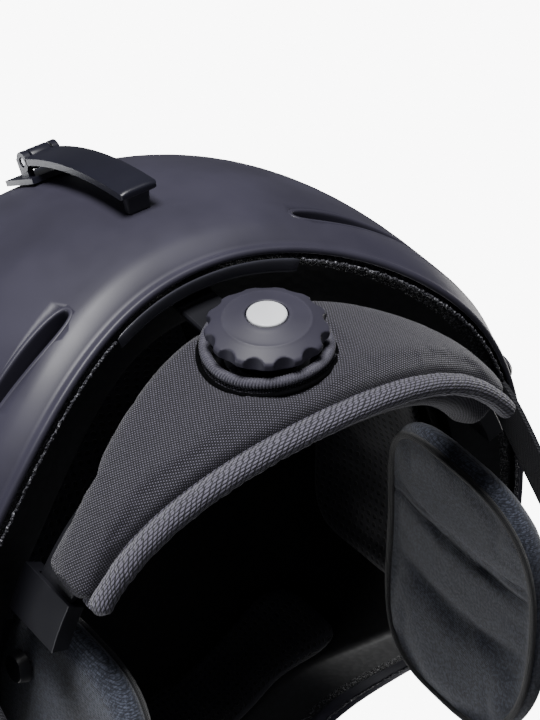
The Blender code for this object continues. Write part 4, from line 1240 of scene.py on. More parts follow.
@dataclass(frozen=True)
class Cushion:
    """A padded form: an outer face, a gusset and an inner face that bulges."""

    name: str
    place: Place
    size: Pair
    spacing: float = 3.6 * MM
    power: float = 5.0
    shrink: float = 0.93
    gusset: int = 3
    filling: Filling = Filling()

    def build(self) -> Object:
        """Return the cushion, blown up and rounded.

        Returns:
            The finished cushion.
        """
        columns, rows = (max(8, round(length / self.spacing)) for length in self.size)
        u, v = np.meshgrid(np.linspace(-1, 1, columns + 1), np.linspace(-1, 1, rows + 1))
        turn = np.arctan2(v, u)
        c, s = np.abs(np.cos(turn)), np.abs(np.sin(turn))
        k = np.maximum(c, s) * (c ** self.power + s ** self.power) ** (-1 / self.power)
        u, v = u * k, v * k
        index = np.arange(u.size).reshape(u.shape)
        rim = np.concatenate([index[0, :-1], index[:-1, -1], index[-1, :0:-1], index[:0:-1, 0]])
        edge_u, edge_v = u.ravel()[rim], v.ravel()[rim]
        flat = [u.ravel() * self.shrink, v.ravel() * self.shrink]
        vertices = [self.place(*flat, np.zeros(u.size))]
        lay = [np.stack(flat, axis=1)]
        loops = [rim]
        for h in np.linspace(0, 1, self.gusset + 2)[1:-1]:
            reach = self.shrink + (1 - self.shrink) * sin(pi * h) ** 0.5
            loops.append(np.arange(len(rim)) + sum(map(len, vertices)))
            vertices.append(self.place(edge_u * reach, edge_v * reach, np.full(len(rim), h)))
            lay.append(np.stack([edge_u, edge_v], axis=1) * (self.shrink + 0.12 * h))
        loops.append(rim + sum(map(len, vertices)))
        vertices.append(self.place(*flat, np.ones(u.size)))
        lay.append(np.stack(flat, axis=1))
        corners = [index[:-1, :-1], index[:-1, 1:], index[1:, 1:], index[1:, :-1]]
        quads = np.stack(corners, axis=-1).reshape(-1, 4)
        faces = [*quads.tolist()]
        for low, high in zip(loops[:-1], loops[1:]):
            faces += np.stack([low, np.roll(low, -1), np.roll(high, -1), high], axis=1).tolist()
        faces += (quads + loops[-1][0] - rim[0]).tolist()
        mesh = bpy.data.meshes.new(self.name)
        mesh.from_pydata(np.concatenate(vertices).tolist(), [], faces)
        kinds = np.full(len(faces), 1, np.int32)
        kinds[:len(quads)], kinds[-len(quads):] = 0, 2
        mesh.polygons.foreach_set("material_index", kinds)
        corner = np.concatenate([np.array(face) for face in faces])
        spread = np.concatenate(lay)[corner] * np.array(self.size) / 2
        mesh.uv_layers.new(name=LAY).data.foreach_set("uv", spread.astype(np.float32).ravel())
        face_outward(mesh)
        piece = new_piece(self.name, mesh, 80)
        held = np.ones(len(mesh.vertices), bool)
        inner = loops[-1][0] - rim[0]
        free = index[1:-1, 1:-1].ravel() + inner
        held[free] = False
        self.filling.swell(piece, held)
        subdivide(piece)
        settle(piece)
        return piece


def vertices_of(piece: Object) -> np.ndarray:
    """Return a piece's vertices as an array.

    Args:
        piece: The piece to read.

    Returns:
        One row for each vertex.
    """
    points = np.empty(len(piece.data.vertices) * 3, np.float32)
    piece.data.vertices.foreach_get("co", points)
    return points.reshape(-1, 3).astype(float)


def move_vertices(piece: Object, points: np.ndarray) -> None:
    """Put a piece's vertices at new points."""
    piece.data.vertices.foreach_set("co", points.astype(np.float32).ravel())
    piece.data.update()


def normals_of(piece: Object) -> np.ndarray:
    """Return the directions of a piece's vertices as an array.

    Args:
        piece: The piece to read.

    Returns:
        One row for each vertex.
    """
    normals = np.empty(len(piece.data.vertices) * 3, np.float32)
    piece.data.vertices.foreach_get("normal", normals)
    return normals.reshape(-1, 3).astype(float)


@dataclass(frozen=True)
class ComfortLining:
    """The thin cushions on the foam's inner face."""

    palette: Palette
    near: float = 27.3 * MM
    depth: float = 4.5 * MM

    def patch(self, phi: Pair, low: Callable[[np.ndarray], np.ndarray], high: float) -> Place:
        """Return where a patch's points lie.

        Args:
            phi: Angles of its two ends.
            low: Height of its lower edge at an angle.
            high: Height of its upper edge.

        Returns:
            A function of u, v and h.
        """
        def place(u: np.ndarray, v: np.ndarray, h: np.ndarray) -> np.ndarray:
            """Return points of the patch.

            Args:
                u: Places along it, from -1 to 1.
                v: Places up it, from -1 to 1.
                h: Places through it, 0 nearest the foam.

            Returns:
                The points.
            """
            angle = (phi[0] + phi[1]) / 2 + (phi[1] - phi[0]) / 2 * u
            level = low(angle) + (high - low(angle)) * (v + 1) / 2
            return FORM.points(angle, level, self.near + self.depth * (0.05 + 0.85 * h))
        return place

    def cushion(self, name: str, node: str, place: Place, size: Pair) -> None:
        """Build one cushion and dress it.

        Args:
            name: The cushion's name.
            node: The part that it stands for.
            place: Where its points lie.
            size: Its width and height.
        """
        piece = Cushion(name, place, size, filling=Filling(cap=1.6 * MM)).build()
        finish_piece(piece, self.palette.lining, nodes=[node])

    def build(self) -> None:
        """Build the five cushions."""
        brow = self.patch((128, 232), lambda a: FORM.rim(a) + 5 * MM, 84 * MM)
        self.cushion("brow_cushion", "brow_pad", brow, (170 * MM, 26 * MM))
        rear = self.patch((-34, 34), lambda a: 46 * MM + 0 * a, 86 * MM)
        self.cushion("rear_cushion", "rear_pad", rear, (115 * MM, 40 * MM))
        for side in Side:
            place = self.patch((side.value * 48, side.value * 112), lambda a: 28 * MM + 0 * a, 78 * MM)
            self.cushion(f"side_cushion_{side.word}", f"side_pad_{side.word}", place, (95 * MM, 50 * MM))
        self.build_crown()

    def build_crown(self) -> None:
        """Build the round cushion at the top."""
        def place(u: np.ndarray, v: np.ndarray, h: np.ndarray) -> np.ndarray:
            """Return points of the crown cushion.

            Args:
                u: Places across it, from -1 to 1.
                v: Places along it, from -1 to 1.
                h: Places through it, 0 nearest the foam.

            Returns:
                The points.
            """
            inset = self.near + self.depth * (0.05 + 0.85 * h)
            top = FORM.widest_z + FORM.crown_rise - inset
            share = np.clip(np.hypot(u, v), 0, 1)
            angle = np.degrees(np.arctan2(u, v))
            low = 118.5 * MM - inset + self.near
            return FORM.points(angle, low + (top - low) * (1 - share ** 2.2), inset)
        piece = Cushion("crown_cushion", place, (95 * MM, 110 * MM), power=2.0,
                        filling=Filling(cap=1.6 * MM)).build()
        finish_piece(piece, self.palette.lining, nodes=["crown_pad"])


# ------------------------------------------------------------------------------ nape and dial

@dataclass(frozen=True)
class NapePad:
    """The crescent cushion at the nape, its binding and the stitched ring round the dial."""

    palette: Palette
    outer: float = 89.5 * MM
    inner: float = 71 * MM
    reach: float = 57.0
    hole: float = 15.2 * MM
    binding: float = 3 * MM
    threads: int = 128

    def levels(self, phi: float) -> Pair:
        """Return the pad's lowest and highest level at an angle."""
        arch = sin(pi / 2 * min(1.0, abs(phi) / self.reach)) ** 2
        return (-26 + 9 * arch) * MM, (21 - 18 * arch) * MM

    def polar(self, radius: np.ndarray, phi: np.ndarray, level: np.ndarray) -> np.ndarray:
        """Return points at radii and angles round the head."""
        turn = np.radians(phi)
        return np.stack(np.broadcast_arrays(radius * np.sin(turn), radius * np.cos(turn), level), axis=-1)

    def build_cushion(self) -> None:
        """Build the woven cushion, with its hole for the dial."""
        rings, lay = [], []
        angles = np.linspace(-self.reach, self.reach, 150)
        for phi in angles:
            low, top = self.levels(phi)
            end = min(1.0, (self.reach - abs(phi)) / 2.4)
            pull = 1 - 0.45 * (1 - end) ** 2
            out, near = self.outer, self.inner
            mid = (low + top) / 2
            shape = [(out - 9 * MM, low), (out - 3.2 * MM, low + 0.6 * MM), (out - 1.2 * MM, low + 3 * MM),
                     (out - 0.5 * MM, low + 7 * MM), (out - 0.4 * MM, mid), (out - 0.8 * MM, top - 7 * MM),
                     (out - 2.4 * MM, top - 3.4 * MM), (out - 5.5 * MM, top - 0.9 * MM), (out - 10 * MM, top),
                     (near + 4 * MM, top - MM), (near + 0.8 * MM, top - 6 * MM), (near + 0.5 * MM, mid),
                     (near + 0.8 * MM, low + 6 * MM), (near + 4 * MM, low + 0.6 * MM)]
            ring = spline([*shape, shape[0]], 61)[:-1]
            middle = np.array([(out + near) / 2, (low + top) / 2])
            ring = middle + (ring - middle) * pull
            steps = np.linalg.norm(np.diff(np.concatenate([ring, ring[:1]]), axis=0), axis=1)
            across = np.concatenate([[0], np.cumsum(steps)])
            across -= across[np.argmax(ring[:, 0])]
            lay.append(np.stack([np.full(61, self.outer * radians(phi)), across], axis=1))
            rings.append(self.polar(ring[:, 0], np.full(60, phi), ring[:, 1]))
        pad = skin("nape_cushion", np.stack(rings), lay=np.stack(lay), sharp=75)
        points = vertices_of(pad)
        around = np.hypot(points[:, 0], points[:, 1])
        held = around < self.outer - 7 * MM
        Filling(pressure=3.0, cap=1.1 * MM).swell(pad, held)
        points = vertices_of(pad)
        distance = np.hypot(points[:, 0], points[:, 2])
        dip = 1.3 * MM * np.exp(-((distance - 19.2 * MM) / (2.0 * MM)) ** 2) * (points[:, 1] > 60 * MM)
        points[:, 1] -= dip
        move_vertices(pad, points)
        carve(pad, self.mouth())
        finish_piece(pad, self.palette.nape, nodes=["nape_pad"])

    def mouth(self) -> Object:
        """Return the round hole behind the dial as a closed piece.

        Returns:
            The closed piece.
        """
        turn = np.linspace(0, 2 * pi, 96, endpoint=False)
        rings = [np.stack([self.hole * np.sin(turn), np.full(96, y), self.hole * np.cos(turn)], axis=1)
                 for y in (83.5 * MM, 90 * MM, 110 * MM)]
        return skin("dial_mouth", np.stack(rings))

    def build_binding(self) -> None:
        """Build the puckered knit binding along the lower edge."""
        angles = np.linspace(-self.reach, self.reach, 460)
        path = np.stack([self.polar(self.outer - 5.8 * MM, phi, self.levels(phi)[0] - 3.3 * MM)
                         for phi in angles])
        run = self.outer * np.radians(angles)
        section = oval_section(5.6 * MM, 6.7 * MM, 28, 2.3)
        end = np.sqrt(np.clip((self.reach - np.abs(angles)) / 1.6, 0.02, 1))
        swell = end * (1 + 0.030 * np.sin(run / (0.72 * MM)) * np.sin(run / (5.3 * MM) + 0.6)
                       + 0.022 * np.sin(run / (1.9 * MM) + 1.0))
        side = np.stack([np.sin(np.radians(angles)), np.cos(np.radians(angles)), 0 * angles], axis=1)
        turn = np.arctan2(section[:, 1], section[:, 0])
        slanted = 0.016 * np.sin(run[:, None] / (0.6 * MM) + 1.4 * turn[None])
        scale = swell[:, None] * (1 + slanted)
        rings = section[None] * scale[..., None]
        tape = sweep("nape_binding_tape", path, rings, side, sharp=80)
        finish_piece(tape, self.palette.binding, nodes=["nape_binding"])
        path = np.stack([self.polar(self.outer - 6.4 * MM, phi, self.levels(phi)[0] + 0.2 * MM)
                         for phi in angles])
        seam = sweep("nape_seam_tape", path, oval_section(2.4 * MM, 7 * MM, 16), side, sharp=80)
        finish_piece(seam, self.palette.binding)

    def build_ring(self) -> None:
        """Build the ring of slanting overlock threads round the dial, and a near-black band round it that is
        a painted shadow in the groove beside it.
        """
        count = self.threads * 8
        turn = np.linspace(0, 2 * pi, count, endpoint=False)
        major, over = 16.9 * MM, 91.3 * MM
        x = major * np.sin(turn)
        path = np.stack([x, np.sqrt(over ** 2 - x ** 2), major * np.cos(turn)], axis=1)
        section = oval_section(3.2 * MM, 2.9 * MM, 24)
        tilt = np.arctan2(section[:, 1], section[:, 0])
        wander = 0.5 * np.sin(9 * turn) + 0.35 * np.sin(23 * turn + 1)
        phase = self.threads / 2 * turn[:, None] + 0.9 * tilt[None] + 0.45 * wander[:, None]
        thread = np.abs(np.sin(phase)) ** 0.7
        scale = 0.74 + 0.26 * thread
        out = np.stack([np.sin(turn), 0 * turn, np.cos(turn)], axis=1)
        ring = sweep("overlock_ring", path, section[None] * scale[..., None], out, closed=True, sharp=80)
        finish_piece(ring, self.palette.stitching, nodes=["dial_ring"])
        # A thin near-black band sunk in the groove just outside the ring: a painted shadow of the ring on the
        # weave.
        turn = np.linspace(0, 2 * pi, 240, endpoint=False)
        x = 18.7 * MM * np.sin(turn)
        path = np.stack([x, np.sqrt((self.outer - 0.9 * MM) ** 2 - x ** 2), 18.7 * MM * np.cos(turn)], axis=1)
        out = np.stack([np.sin(turn), 0 * turn, np.cos(turn)], axis=1)
        groove_shade = sweep("ring_painted_shadow", path, oval_section(1.5 * MM, 1.5 * MM, 14), out, closed=True, sharp=80)
        finish_piece(groove_shade, self.palette.groove_shade)

    def build(self) -> None:
        """Build the nape's three soft pieces."""
        self.build_cushion()
        self.build_binding()
        self.build_ring()


def turned_form(name: str, profile: Sequence[Pair], columns: int = 128, sharp: float = 40.0) -> Object:
    """Turn a profile, as (radius, Y) pairs, about the dial's axis.

    Args:
        name: The piece's name.
        profile: Pairs of radius and Y.
        columns: Faces round it.
        sharp: Angle in degrees above which an edge stays sharp.

    Returns:
        The turned piece.
    """
    turn = np.linspace(0, 2 * pi, columns, endpoint=False)
    rings = [np.stack([r * np.sin(turn), np.full(columns, y), r * np.cos(turn)], axis=1) for r, y in profile]
    return skin(name, np.stack(rings), sharp=sharp)


@dataclass(frozen=True)
class FitDial:
    """The scalloped dial with its white cap."""

    palette: Palette
    scallops: int = 13
    scallop_radius: float = 3.6 * MM
    scallop_centre: float = 18.87 * MM
    profile: tuple = ((1.7, 83.0), (3.0, 83.2), (3.0, 85.8), (7.8, 86.0), (8.0, 90.6), (12.6, 92.7),
                      (15.6, 93.9), (16.7, 94.8), (17.0, 95.6), (17.0, 96.4), (16.85, 96.8),
                      (16.4, 97.2), (15.2, 97.85),
                      (13.6, 98.7), (12.7, 99.18), (12.4, 99.38), (12.2, 99.48), (11.9, 99.5), (11.3, 99.6),
                      (10.0, 99.92), (8.2, 100.4), (6.9, 100.78),
                      (6.25, 100.86), (6.0, 100.7), (5.92, 100.3), (5.9, 99.2), (1.7, 99.2))

    def build(self) -> None:
        """Build the grip and the cap."""
        base = np.array(self.profile) * MM
        fine = [base[0]]
        for a, b in zip(base[:-1], base[1:]):
            steps = max(1, int(np.linalg.norm(b - a) / (0.45 * MM)))
            fine += [a + (b - a) * (i + 1) / steps for i in range(steps)]
        fine = np.array(fine)
        columns = self.scallops * 30
        turn = np.linspace(0, 2 * pi, columns, endpoint=False)
        pitch = 2 * pi / self.scallops
        off = np.mod(turn - pi + 0.107, pitch) - pitch / 2
        side = self.scallop_centre * np.sin(off)
        depth = np.sqrt(np.clip(self.scallop_radius ** 2 - side ** 2, 0, None))
        limit = np.where(np.abs(side) < self.scallop_radius, self.scallop_centre * np.cos(off) - depth, 1.0)
        soft = 0.11 * MM
        notched = np.minimum(limit, 20 * MM)[None]
        radius = -soft * np.log(np.exp(-fine[:, :1] / soft) + np.exp(-notched / soft))
        radius = np.where(fine[:, :1] < 13 * MM, fine[:, :1], radius)
        points = np.stack([radius * np.sin(turn), np.broadcast_to(fine[:, 1:], radius.shape),
                           radius * np.cos(turn)], axis=-1)
        grip = skin("dial_grip", points, sharp=38)
        finish_piece(grip, self.palette.dial, "dial", ["dial_knob"])
        face = [(0.2, 99.3), (5.0, 99.3), (5.35, 99.5), (5.5, 99.9), (5.5, 100.75), (5.42, 101.0),
                (5.2, 101.14), (4.8, 101.2), (3.6, 101.27), (2.0, 101.32), (0.3, 101.34)]
        cap = turned_form("dial_button", [(r * MM, y * MM) for r, y in face])
        finish_piece(cap, self.palette.cap, "dial", ["dial_cap"])


@dataclass(frozen=True)
class FitBand:
    """One half of the fit band: a strap round the side and a toothed arm past the pinion."""

    palette: Palette
    side: Side
    radius: float = 80 * MM
    wall: float = 1.6 * MM
    height: float = 15 * MM
    ends: Pair = (30.0, 69.0)
    rack: Pair = (-13.0, 32.0)

    def build(self) -> None:
        """Build the band."""
        turn = np.radians(np.linspace(*self.ends, 70)) * self.side.value
        path = self.radius * np.stack([np.sin(turn), np.cos(turn), 0 * turn], axis=1)
        section = round_section(self.wall, self.height, 0.6 * MM)
        end = np.clip((self.ends[1] - np.degrees(np.abs(turn))) / 4.5, 0, 1)
        scale = np.stack([np.ones_like(end), 0.55 + 0.45 * np.sqrt(end)], axis=1)[:, None]
        out = np.stack([np.sin(turn), np.cos(turn), 0 * turn], axis=1)
        strap = sweep(f"fit_band_{self.side.word}", path, section[None] * scale, out)
        rows = []
        for phi in np.linspace(*self.rack, 240):
            tooth = 0.9 * MM * abs(sin(pi * (phi - self.rack[0]) * radians(1) * self.radius / (2.513 * MM)))
            low, high = 4.3 * MM + tooth, self.height / 2
            half = self.wall / 2
            corners = [(-half, low), (half, low), (half, high), (-half, high)]
            angle = radians(phi * self.side.value)
            rows.append([((self.radius + r) * sin(angle), (self.radius + r) * cos(angle), z * self.side.value)
                         for r, z in corners])
        rack = skin(f"fit_rack_{self.side.word}", np.array(rows))
        body = f"{self.side.word}_band"
        finish_piece(strap, self.palette.band, body, [body])
        finish_piece(rack, self.palette.band, body, [body])


@dataclass(frozen=True)
class GoggleClip:
    """The bar that holds the goggle strap, with its foot and hinge barrel."""

    palette: Palette
    width: float = 12 * MM
    wall: float = 3 * MM
    lift: float = 5.4 * MM
    tip: float = 60 * MM
    hinge: tuple = (0.0, 86.72 * MM, 115.67 * MM)

    def build(self) -> None:
        """Build the clip's three parts."""
        level = self.tip + np.linspace(0, 1, 110) ** 1.5 * (110 * MM - self.tip)
        out = FORM.normals(np.zeros(110), level)
        path = FORM.points(np.zeros(110), level) + out * (self.lift + self.wall / 2)
        x = np.linspace(-0.5, 0.5, 13)
        top = [(self.width * t, self.wall / 2 - 0.62 * MM * (2 * abs(t)) ** 4) for t in x]
        base = [(self.width * t, -self.wall / 2 + 0.35 * MM * (2 * abs(t)) ** 8) for t in x[::-1]]
        section = np.array(top + base)
        start = np.concatenate([[0], np.cumsum(np.linalg.norm(np.diff(path, axis=0), axis=1))])
        share = np.sqrt(np.clip(1 - (1 - np.clip(start / (1.5 * MM), 0, 1)) ** 2, 0, 1))
        scale = np.stack([0.88 + 0.12 * share, 0.30 + 0.70 * share], axis=1)[:, None]
        arm = sweep("goggle_clip_bar", path, section[None] * scale, (1, 0, 0), sharp=35)
        finish_piece(arm, self.palette.clip, "goggle_clip", ["goggle_clip"])
        root = FORM.points(np.zeros(1), np.array([self.tip + 2.3 * MM]))[0]
        away = FORM.normals(np.zeros(1), np.array([self.tip + 2.3 * MM]))[0]
        heights = np.linspace(0.3 * MM, self.lift + 1.2 * MM, 12)
        path = root + away * heights[:, None]
        section = round_section(7.4 * MM, 3 * MM, 0.9 * MM)
        flare = 1 + 0.18 * (np.linspace(0, 1, 12) ** 3)[:, None, None]
        foot = sweep("goggle_clip_foot", path, section[None] * flare, (1, 0, 0))
        finish_piece(foot, self.palette.black, "goggle_clip", ["goggle_clip"])
        along = np.array([-3.5, -3.3, -2.9, 2.9, 3.3, 3.5]) * MM
        path = np.array(self.hinge) + along[:, None] * np.array([1.0, 0, 0])
        scale = np.array([0.88, 0.96, 1, 1, 0.96, 0.88])[:, None, None]
        section = oval_section(6.4 * MM, 6.4 * MM, 40)[None] * scale
        barrel = sweep("goggle_clip_barrel", path, section, (0, 1, 0))
        finish_piece(barrel, self.palette.clip, "goggle_clip", ["goggle_clip"])


# ------------------------------------------------------------------------------ ears and straps

@dataclass(frozen=True)
class EarCushion:
    """An ear pad: a heather cover outside, black fleece inside and a piping between them."""

    palette: Palette
    side: Side
    face_x: float = 67 * MM
    wall: float = 9 * MM
    middle: tuple = (-29 * MM, -6 * MM)
    half: tuple = (51 * MM, 36 * MM)
    curve: float = 2.4
    power: float = 3.2

    def place(self, u: np.ndarray, v: np.ndarray, h: np.ndarray) -> np.ndarray:
        """Return points of the pad.

        Args:
            u: Places along the pad, from -1 to 1.
            v: Places up the pad, from -1 to 1.
            h: Places through it: 0 on its outer face and 1 on its inner one.

        Returns:
            The points.
        """
        y = self.middle[0] + self.half[0] * u
        z = self.middle[1] + self.half[1] * v
        x = self.face_x + self.wall * (1 - h) - self.curve * (y - self.middle[0]) ** 2
        return np.stack([self.side.value * x, y, z], axis=-1)

    def build(self) -> None:
        """Build the pad and its piping."""
        word = self.side.word
        pad = Cushion(f"ear_cushion_{word}", self.place, (102 * MM, 72 * MM), 2.9 * MM, self.power, 0.94,
                      filling=Filling(pressure=4.0, cap=2.6 * MM)).build()
        points, normals = vertices_of(pad), normals_of(pad)
        inward = np.clip(-self.side.value * normals[:, 0], 0, 1)
        for seam in (12 * MM, 16.5 * MM):
            depth = 0.6 * MM * inward * np.exp(-((points[:, 1] + seam) / (0.7 * MM)) ** 2)
            points -= normals * depth[:, None]
        move_vertices(pad, points)
        pad.data.materials.clear()
        for finish in (self.palette.heather, self.palette.heather, self.palette.fleece):
            pad.data.materials.append(worn(finish))
        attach(pad, HELMET)
        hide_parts(f"ear_pad_{word}")
        turn = np.linspace(0, 2 * pi, 220, endpoint=False)
        c, s = np.cos(turn), np.sin(turn)
        k = (np.abs(c) ** self.power + np.abs(s) ** self.power) ** (-1 / self.power)
        path = self.place(0.95 * k * c, 0.95 * k * s, np.full(220, 0.95))
        section = oval_section(2.3 * MM, 2.3 * MM, 16)
        piping = sweep(f"ear_piping_{word}", path, section, (1, 0, 0), closed=True)
        finish_piece(piping, self.palette.piping)


@dataclass(frozen=True)
class Straps:
    """The webbing: four upper straps, two lower ones and the chin sleeve."""

    palette: Palette
    width: float = 14 * MM
    wall: float = 1.6 * MM
    divider: tuple = (92 * MM, -40 * MM, -57 * MM)
    drop: float = 51 * MM
    anchors: tuple = (("front", -83 * MM, -7.4 * MM), ("rear", 18 * MM, 7.4 * MM))

    def chin_points(self, start: float, end: float, count: int) -> np.ndarray:
        """Return the lower strap's middle line between two angles round its U.

        Args:
            start: Angle of the first point in degrees.
            end: Angle of the last point.
            count: How many points.

        Returns:
            The points of the line.
        """
        turn = np.radians(np.linspace(start, end, count))
        c, s = np.cos(turn), np.sin(turn)
        k = (c ** 4 + s ** 4) ** -0.25
        x, y, z = self.divider
        return np.stack([x * k * s, np.full(count, y), z - self.drop * k * c], axis=1)

    def chin_angle(self, x: float) -> float:
        """Return the angle round the U at a place across the chin."""
        share = min(1.0, abs(x) / self.divider[0])
        return degrees(atan2(x / self.divider[0], (1 - share ** 4) ** 0.25))

    def strip(self, name: str, path: np.ndarray, thicker: float = 0.0) -> Object:
        """Return a strip of webbing along a path.

        Args:
            name: The strip's name.
            path: Its middle line.
            thicker: What is added to the wall.

        Returns:
            The strip.
        """
        section = round_section(self.wall + thicker, self.width, 0.7 * MM)
        ahead = np.gradient(path, axis=0)
        return sweep(name, path, section, np.cross(ahead, (0.0, 1.0, 0.0)), sharp=60)

    def build_upper(self, side: Side) -> None:
        """Build a side's front and rear upper straps.

        Args:
            side: The side to build.
        """
        x, y0, z0 = self.divider
        s = side.value
        for place, y, shift in self.anchors:
            end = y0 + shift
            route = [(s * 94.6 * MM, y, 31 * MM), (s * 94.6 * MM, y, 12 * MM),
                     (s * 94 * MM, y + (end - y) * 0.3, -8 * MM),
                     (s * 92.7 * MM, y + (end - y) * 0.68, -32 * MM),
                     (s * x, end, -49 * MM), (s * x, end, -55 * MM)]
            path = spline(route, 90)
            section = round_section(self.wall, self.width, 0.7 * MM)
            strap = sweep(f"{place}_webbing_{side.word}", path, section, (1, 0, 0), sharp=60)
            finish_piece(strap, self.palette.webbing, nodes=[f"{place}_strap_{side.word}"])

    def build_lower(self) -> None:
        """Build the lower straps and hide the CAD straps that they stand for."""
        left = self.strip("lower_webbing_left", self.chin_points(self.chin_angle(1 * MM), 87, 110))
        right = self.strip("lower_webbing_right", self.chin_points(-62, -87, 60))
        front = self.strip("lower_webbing_front", self.chin_points(self.chin_angle(-41 * MM), -62, 60))
        tail = self.chin_points(self.chin_angle(-52 * MM), -66, 50) * (0.972, 1, 1) + (0, 0, 2.0 * MM)
        loose = self.strip("strap_tail", tail, -0.2 * MM)
        for piece, node in ((left, "lower_strap_left"), (right, "lower_strap_right"),
                            (front, "lower_strap_right"), (loose, "lower_strap_right")):
            piece.data.materials.append(worn(self.palette.webbing))
            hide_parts(node)
        for piece, side in ((left, 1), (right, -1)):
            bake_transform(piece)
        for piece in (front, loose):
            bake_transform(piece)
        log.info("built the lower straps")

    def build_chin(self) -> None:
        """Build the padded sleeve under the chin."""
        count = 64
        path = self.chin_points(self.chin_angle(6 * MM), self.chin_angle(58 * MM), count)
        share = np.linspace(-1, 1, count)
        full = (1 - np.abs(share) ** 6) ** (1 / 6) * 0.30 + 0.70
        section = oval_section(1.0, 1.0, 36, 2.6)
        size = np.stack([6.4 * MM * full, 26.5 * MM * full], axis=1)[:, None]
        ahead = np.gradient(path, axis=0)
        sleeve = sweep("chin_sleeve", path, section[None] * size, np.cross(ahead, (0.0, 1.0, 0.0)), sharp=80)
        points = vertices_of(sleeve)
        edge = np.abs(points[:, 1] - self.divider[1]) > 12.2 * MM
        ends = (points[:, 0] < 8 * MM) | (points[:, 0] > 55 * MM)
        Filling(pressure=4.0, cap=1.6 * MM).swell(sleeve, edge | ends)
        finish_piece(sleeve, self.palette.fleece, "chin_strap", ["chin_pad"])

    def build(self) -> None:
        """Build all the webbing."""
        for side in Side:
            self.build_upper(side)
        self.build_lower()
        self.build_chin()


@dataclass(frozen=True)
class MouldedParts:
    """The hard parts that keep their own shape and get rounded edges and a finish."""

    palette: Palette

    def finishes(self) -> dict[str, tuple[object, float]]:
        """Return each part's finish and the radius of its edges.

        Returns:
            The finish and edge radius of each part, by its name.
        """
        p = self.palette
        parts = {"dial_pinion": (p.nylon, 0.15), "dial_screw": (p.steel, 0.15),
                 "dial_housing": (p.black, 0.5), "cradle_stem": (p.black, 0.4),
                 "click_ring": (p.steel, 0.12), "goggle_clip_base": (p.clip, 0.5),
                 "goggle_clip_pin": (p.steel, 0.2), "strap_keeper": (p.rubber, 0.4)}
        parts["buckle_socket"] = parts["buckle_plug"] = (p.black, 0.5)
        for side in Side:
            parts[f"band_guide_{side.word}"] = (p.black, 0.4)
            parts[f"strap_divider_{side.word}"] = (p.black, 0.5)
            for place in ("front", "rear"):
                parts[f"ear_snap_{place}_{side.word}"] = (p.black, 0.4)
                parts[f"strap_rivet_{place}_{side.word}"] = (p.rivet, 0.35)
        return parts

    def build(self) -> None:
        """Round and dress each part."""
        for name, (finish, edge) in self.finishes().items():
            part = bpy.data.objects[name]
            part.data.materials.clear()
            part.data.materials.append(worn(finish))
            for layer in ("custom_normal", "sharp_edge", "sharp_face"):
                found = part.data.attributes.get(layer)
                if found:
                    part.data.attributes.remove(found)
            part.data.shade_smooth()
            weld = part.modifiers.new("weld", "WELD")
            weld.merge_threshold = 0.01 * MM
            rounding = part.modifiers.new("rounding", "BEVEL")
            rounding.width = edge * MM
            rounding.segments = 3
            rounding.limit_method = "ANGLE"
            rounding.angle_limit = radians(35)
            rounding.harden_normals = True
            log.info("dressed %s", name)


# ------------------------------------------------------------------------------ studio

@dataclass(frozen=True)
class Lamp:
    """A soft lamp, aimed at the helmet's middle."""

    name: str
    place: tuple
    size: float
    power: float
    colour: Colour = (1.0, 1.0, 1.0)

    def build(self) -> None:
        """Hang the lamp."""
        data = bpy.data.lights.new(self.name, "AREA")
        data.shape = "DISK"
        data.size = self.size
        data.energy = self.power
        data.color = self.colour
        lamp = bpy.data.objects.new(self.name, data)
        bpy.context.scene.collection.objects.link(lamp)
        lamp.location = self.place
        aim = Vector((0, 0, 0.03)) - lamp.location
        lamp.rotation_euler = aim.to_track_quat("-Z", "Y").to_euler()


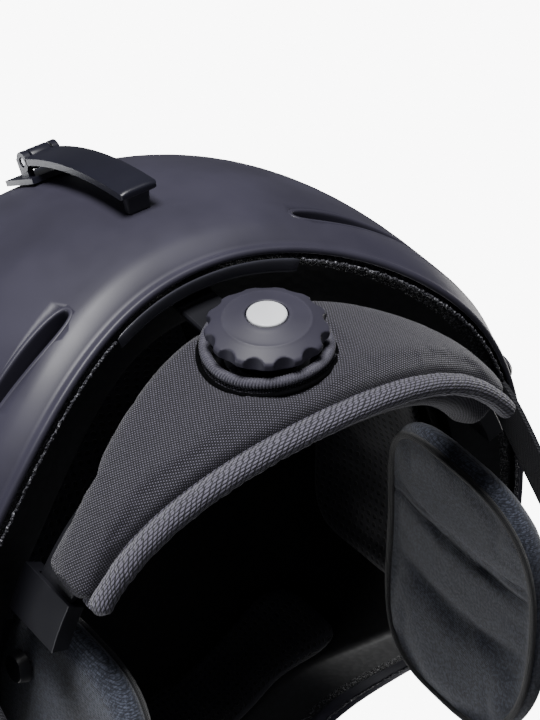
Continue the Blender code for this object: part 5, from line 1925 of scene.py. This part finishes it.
@dataclass(frozen=True)
class Studio:
    """The camera, the lamps, the floor and the white backdrop."""

    distance: float = 0.75
    right: tuple = (-0.812, -0.004, -0.584)
    up: tuple = (-0.371, 0.776, 0.511)
    toward: tuple = (0.451, 0.632, -0.632)
    lamps: tuple = (Lamp("key_lamp", (0.15, 2.2, 0.15), 1.1, 72.0),
                    Lamp("crown_lamp", (0.3, -1.3, 2.3), 1.6, 42.0, (0.95, 0.96, 1.0)),
                    Lamp("brow_lamp", (0.8, -2.4, 0.5), 1.6, 44.0),
                    Lamp("side_lamp", (2.4, -0.3, 0.4), 1.3, 20.0, (0.93, 0.95, 1.0)),
                    Lamp("far_side_lamp", (-2.3, -1.1, 0.7), 1.4, 16.0, (1.0, 0.98, 0.96)))

    def build_camera(self) -> None:
        """Set up the camera."""
        data = bpy.data.cameras.new("studio_camera")
        data.sensor_width = 36.0
        data.lens = 0.18675 * self.distance / MM
        camera = bpy.data.objects.new("studio_camera", data)
        bpy.context.scene.collection.objects.link(camera)
        back = Vector(self.toward).normalized()
        across = Vector(self.up).cross(back).normalized()
        up = back.cross(across)
        pose = Matrix((across, up, back)).transposed().to_4x4()
        middle = Vector((0.0, 0.096, 0.0))
        pose.translation = middle + back * self.distance + across * 0.8 * MM - up * 8.57 * MM
        camera.matrix_world = pose
        bpy.context.scene.camera = camera

    def build_stage(self) -> None:
        """Lay the pale floor and set the white backdrop round it."""
        turn = np.linspace(0, 2 * pi, 64, endpoint=False)
        disc = np.stack([np.cos(turn), np.sin(turn), 0 * turn], axis=1)
        rings = np.stack([disc * r + (0, 0, -0.62) for r in (9.0, 5.0, 2.0, 0.5, 0.001)])
        floor = skin("pale_floor", rings, caps=False)
        white = Recipe("floor_paint", (0.86, 0.86, 0.87), 0.7)
        white.set("Emission Color", (1.0, 1.0, 1.0, 1.0))
        white.set("Emission Strength", 2.5)
        white.bump(white.noise(4 * MM, 2.0), 0.02 * MM, 0.3)
        floor.data.materials.append(white.material)
        rise = np.radians(np.linspace(-89, 89, 24))
        around = np.stack([np.cos(turn), np.sin(turn)], axis=1)
        globe = np.stack([np.column_stack([cos(a) * around, np.full(64, sin(a))]) for a in rise]) * 10
        backdrop = skin("white_backdrop", globe)
        glow = Recipe("backdrop_light", (0.0, 0.0, 0.0), 1.0)
        glow.set("Emission Color", (1.0, 1.0, 1.0, 1.0))
        glow.set("Emission Strength", 9.0)
        backdrop.data.materials.append(glow.material)
        for ray in ("diffuse", "glossy", "transmission", "volume_scatter", "shadow"):
            setattr(backdrop, f"visible_{ray}", False)
            setattr(floor, f"visible_{ray}", False)

    def build_lamps(self) -> None:
        """Hang the lamps and set a dim even light."""
        world = bpy.data.worlds.new("dim_world")
        world.use_nodes = True
        world.node_tree.nodes["Background"].inputs["Color"].default_value = (0.9, 0.92, 1.0, 1.0)
        world.node_tree.nodes["Background"].inputs["Strength"].default_value = 0.09
        bpy.context.scene.world = world
        for lamp in self.lamps:
            lamp.build()


# ------------------------------------------------------------------------------ the whole helmet


def main() -> None:
    """Build the studio and then the helmet, piece by piece."""
    logging.basicConfig(level=logging.INFO, format="%(name)s: %(message)s")
    palette = Palette()
    studio = Studio()
    studio.build_camera()
    studio.build_stage()
    studio.build_lamps()
    Shell(palette).build()
    ComfortLining(palette).build()
    NapePad(palette).build()
    FitDial(palette).build()
    for side in Side:
        FitBand(palette, side).build()
        EarCushion(palette, side).build()
    GoggleClip(palette).build()
    Straps(palette).build()
    MouldedParts(palette).build()


if __name__ == "__main__":
    main()
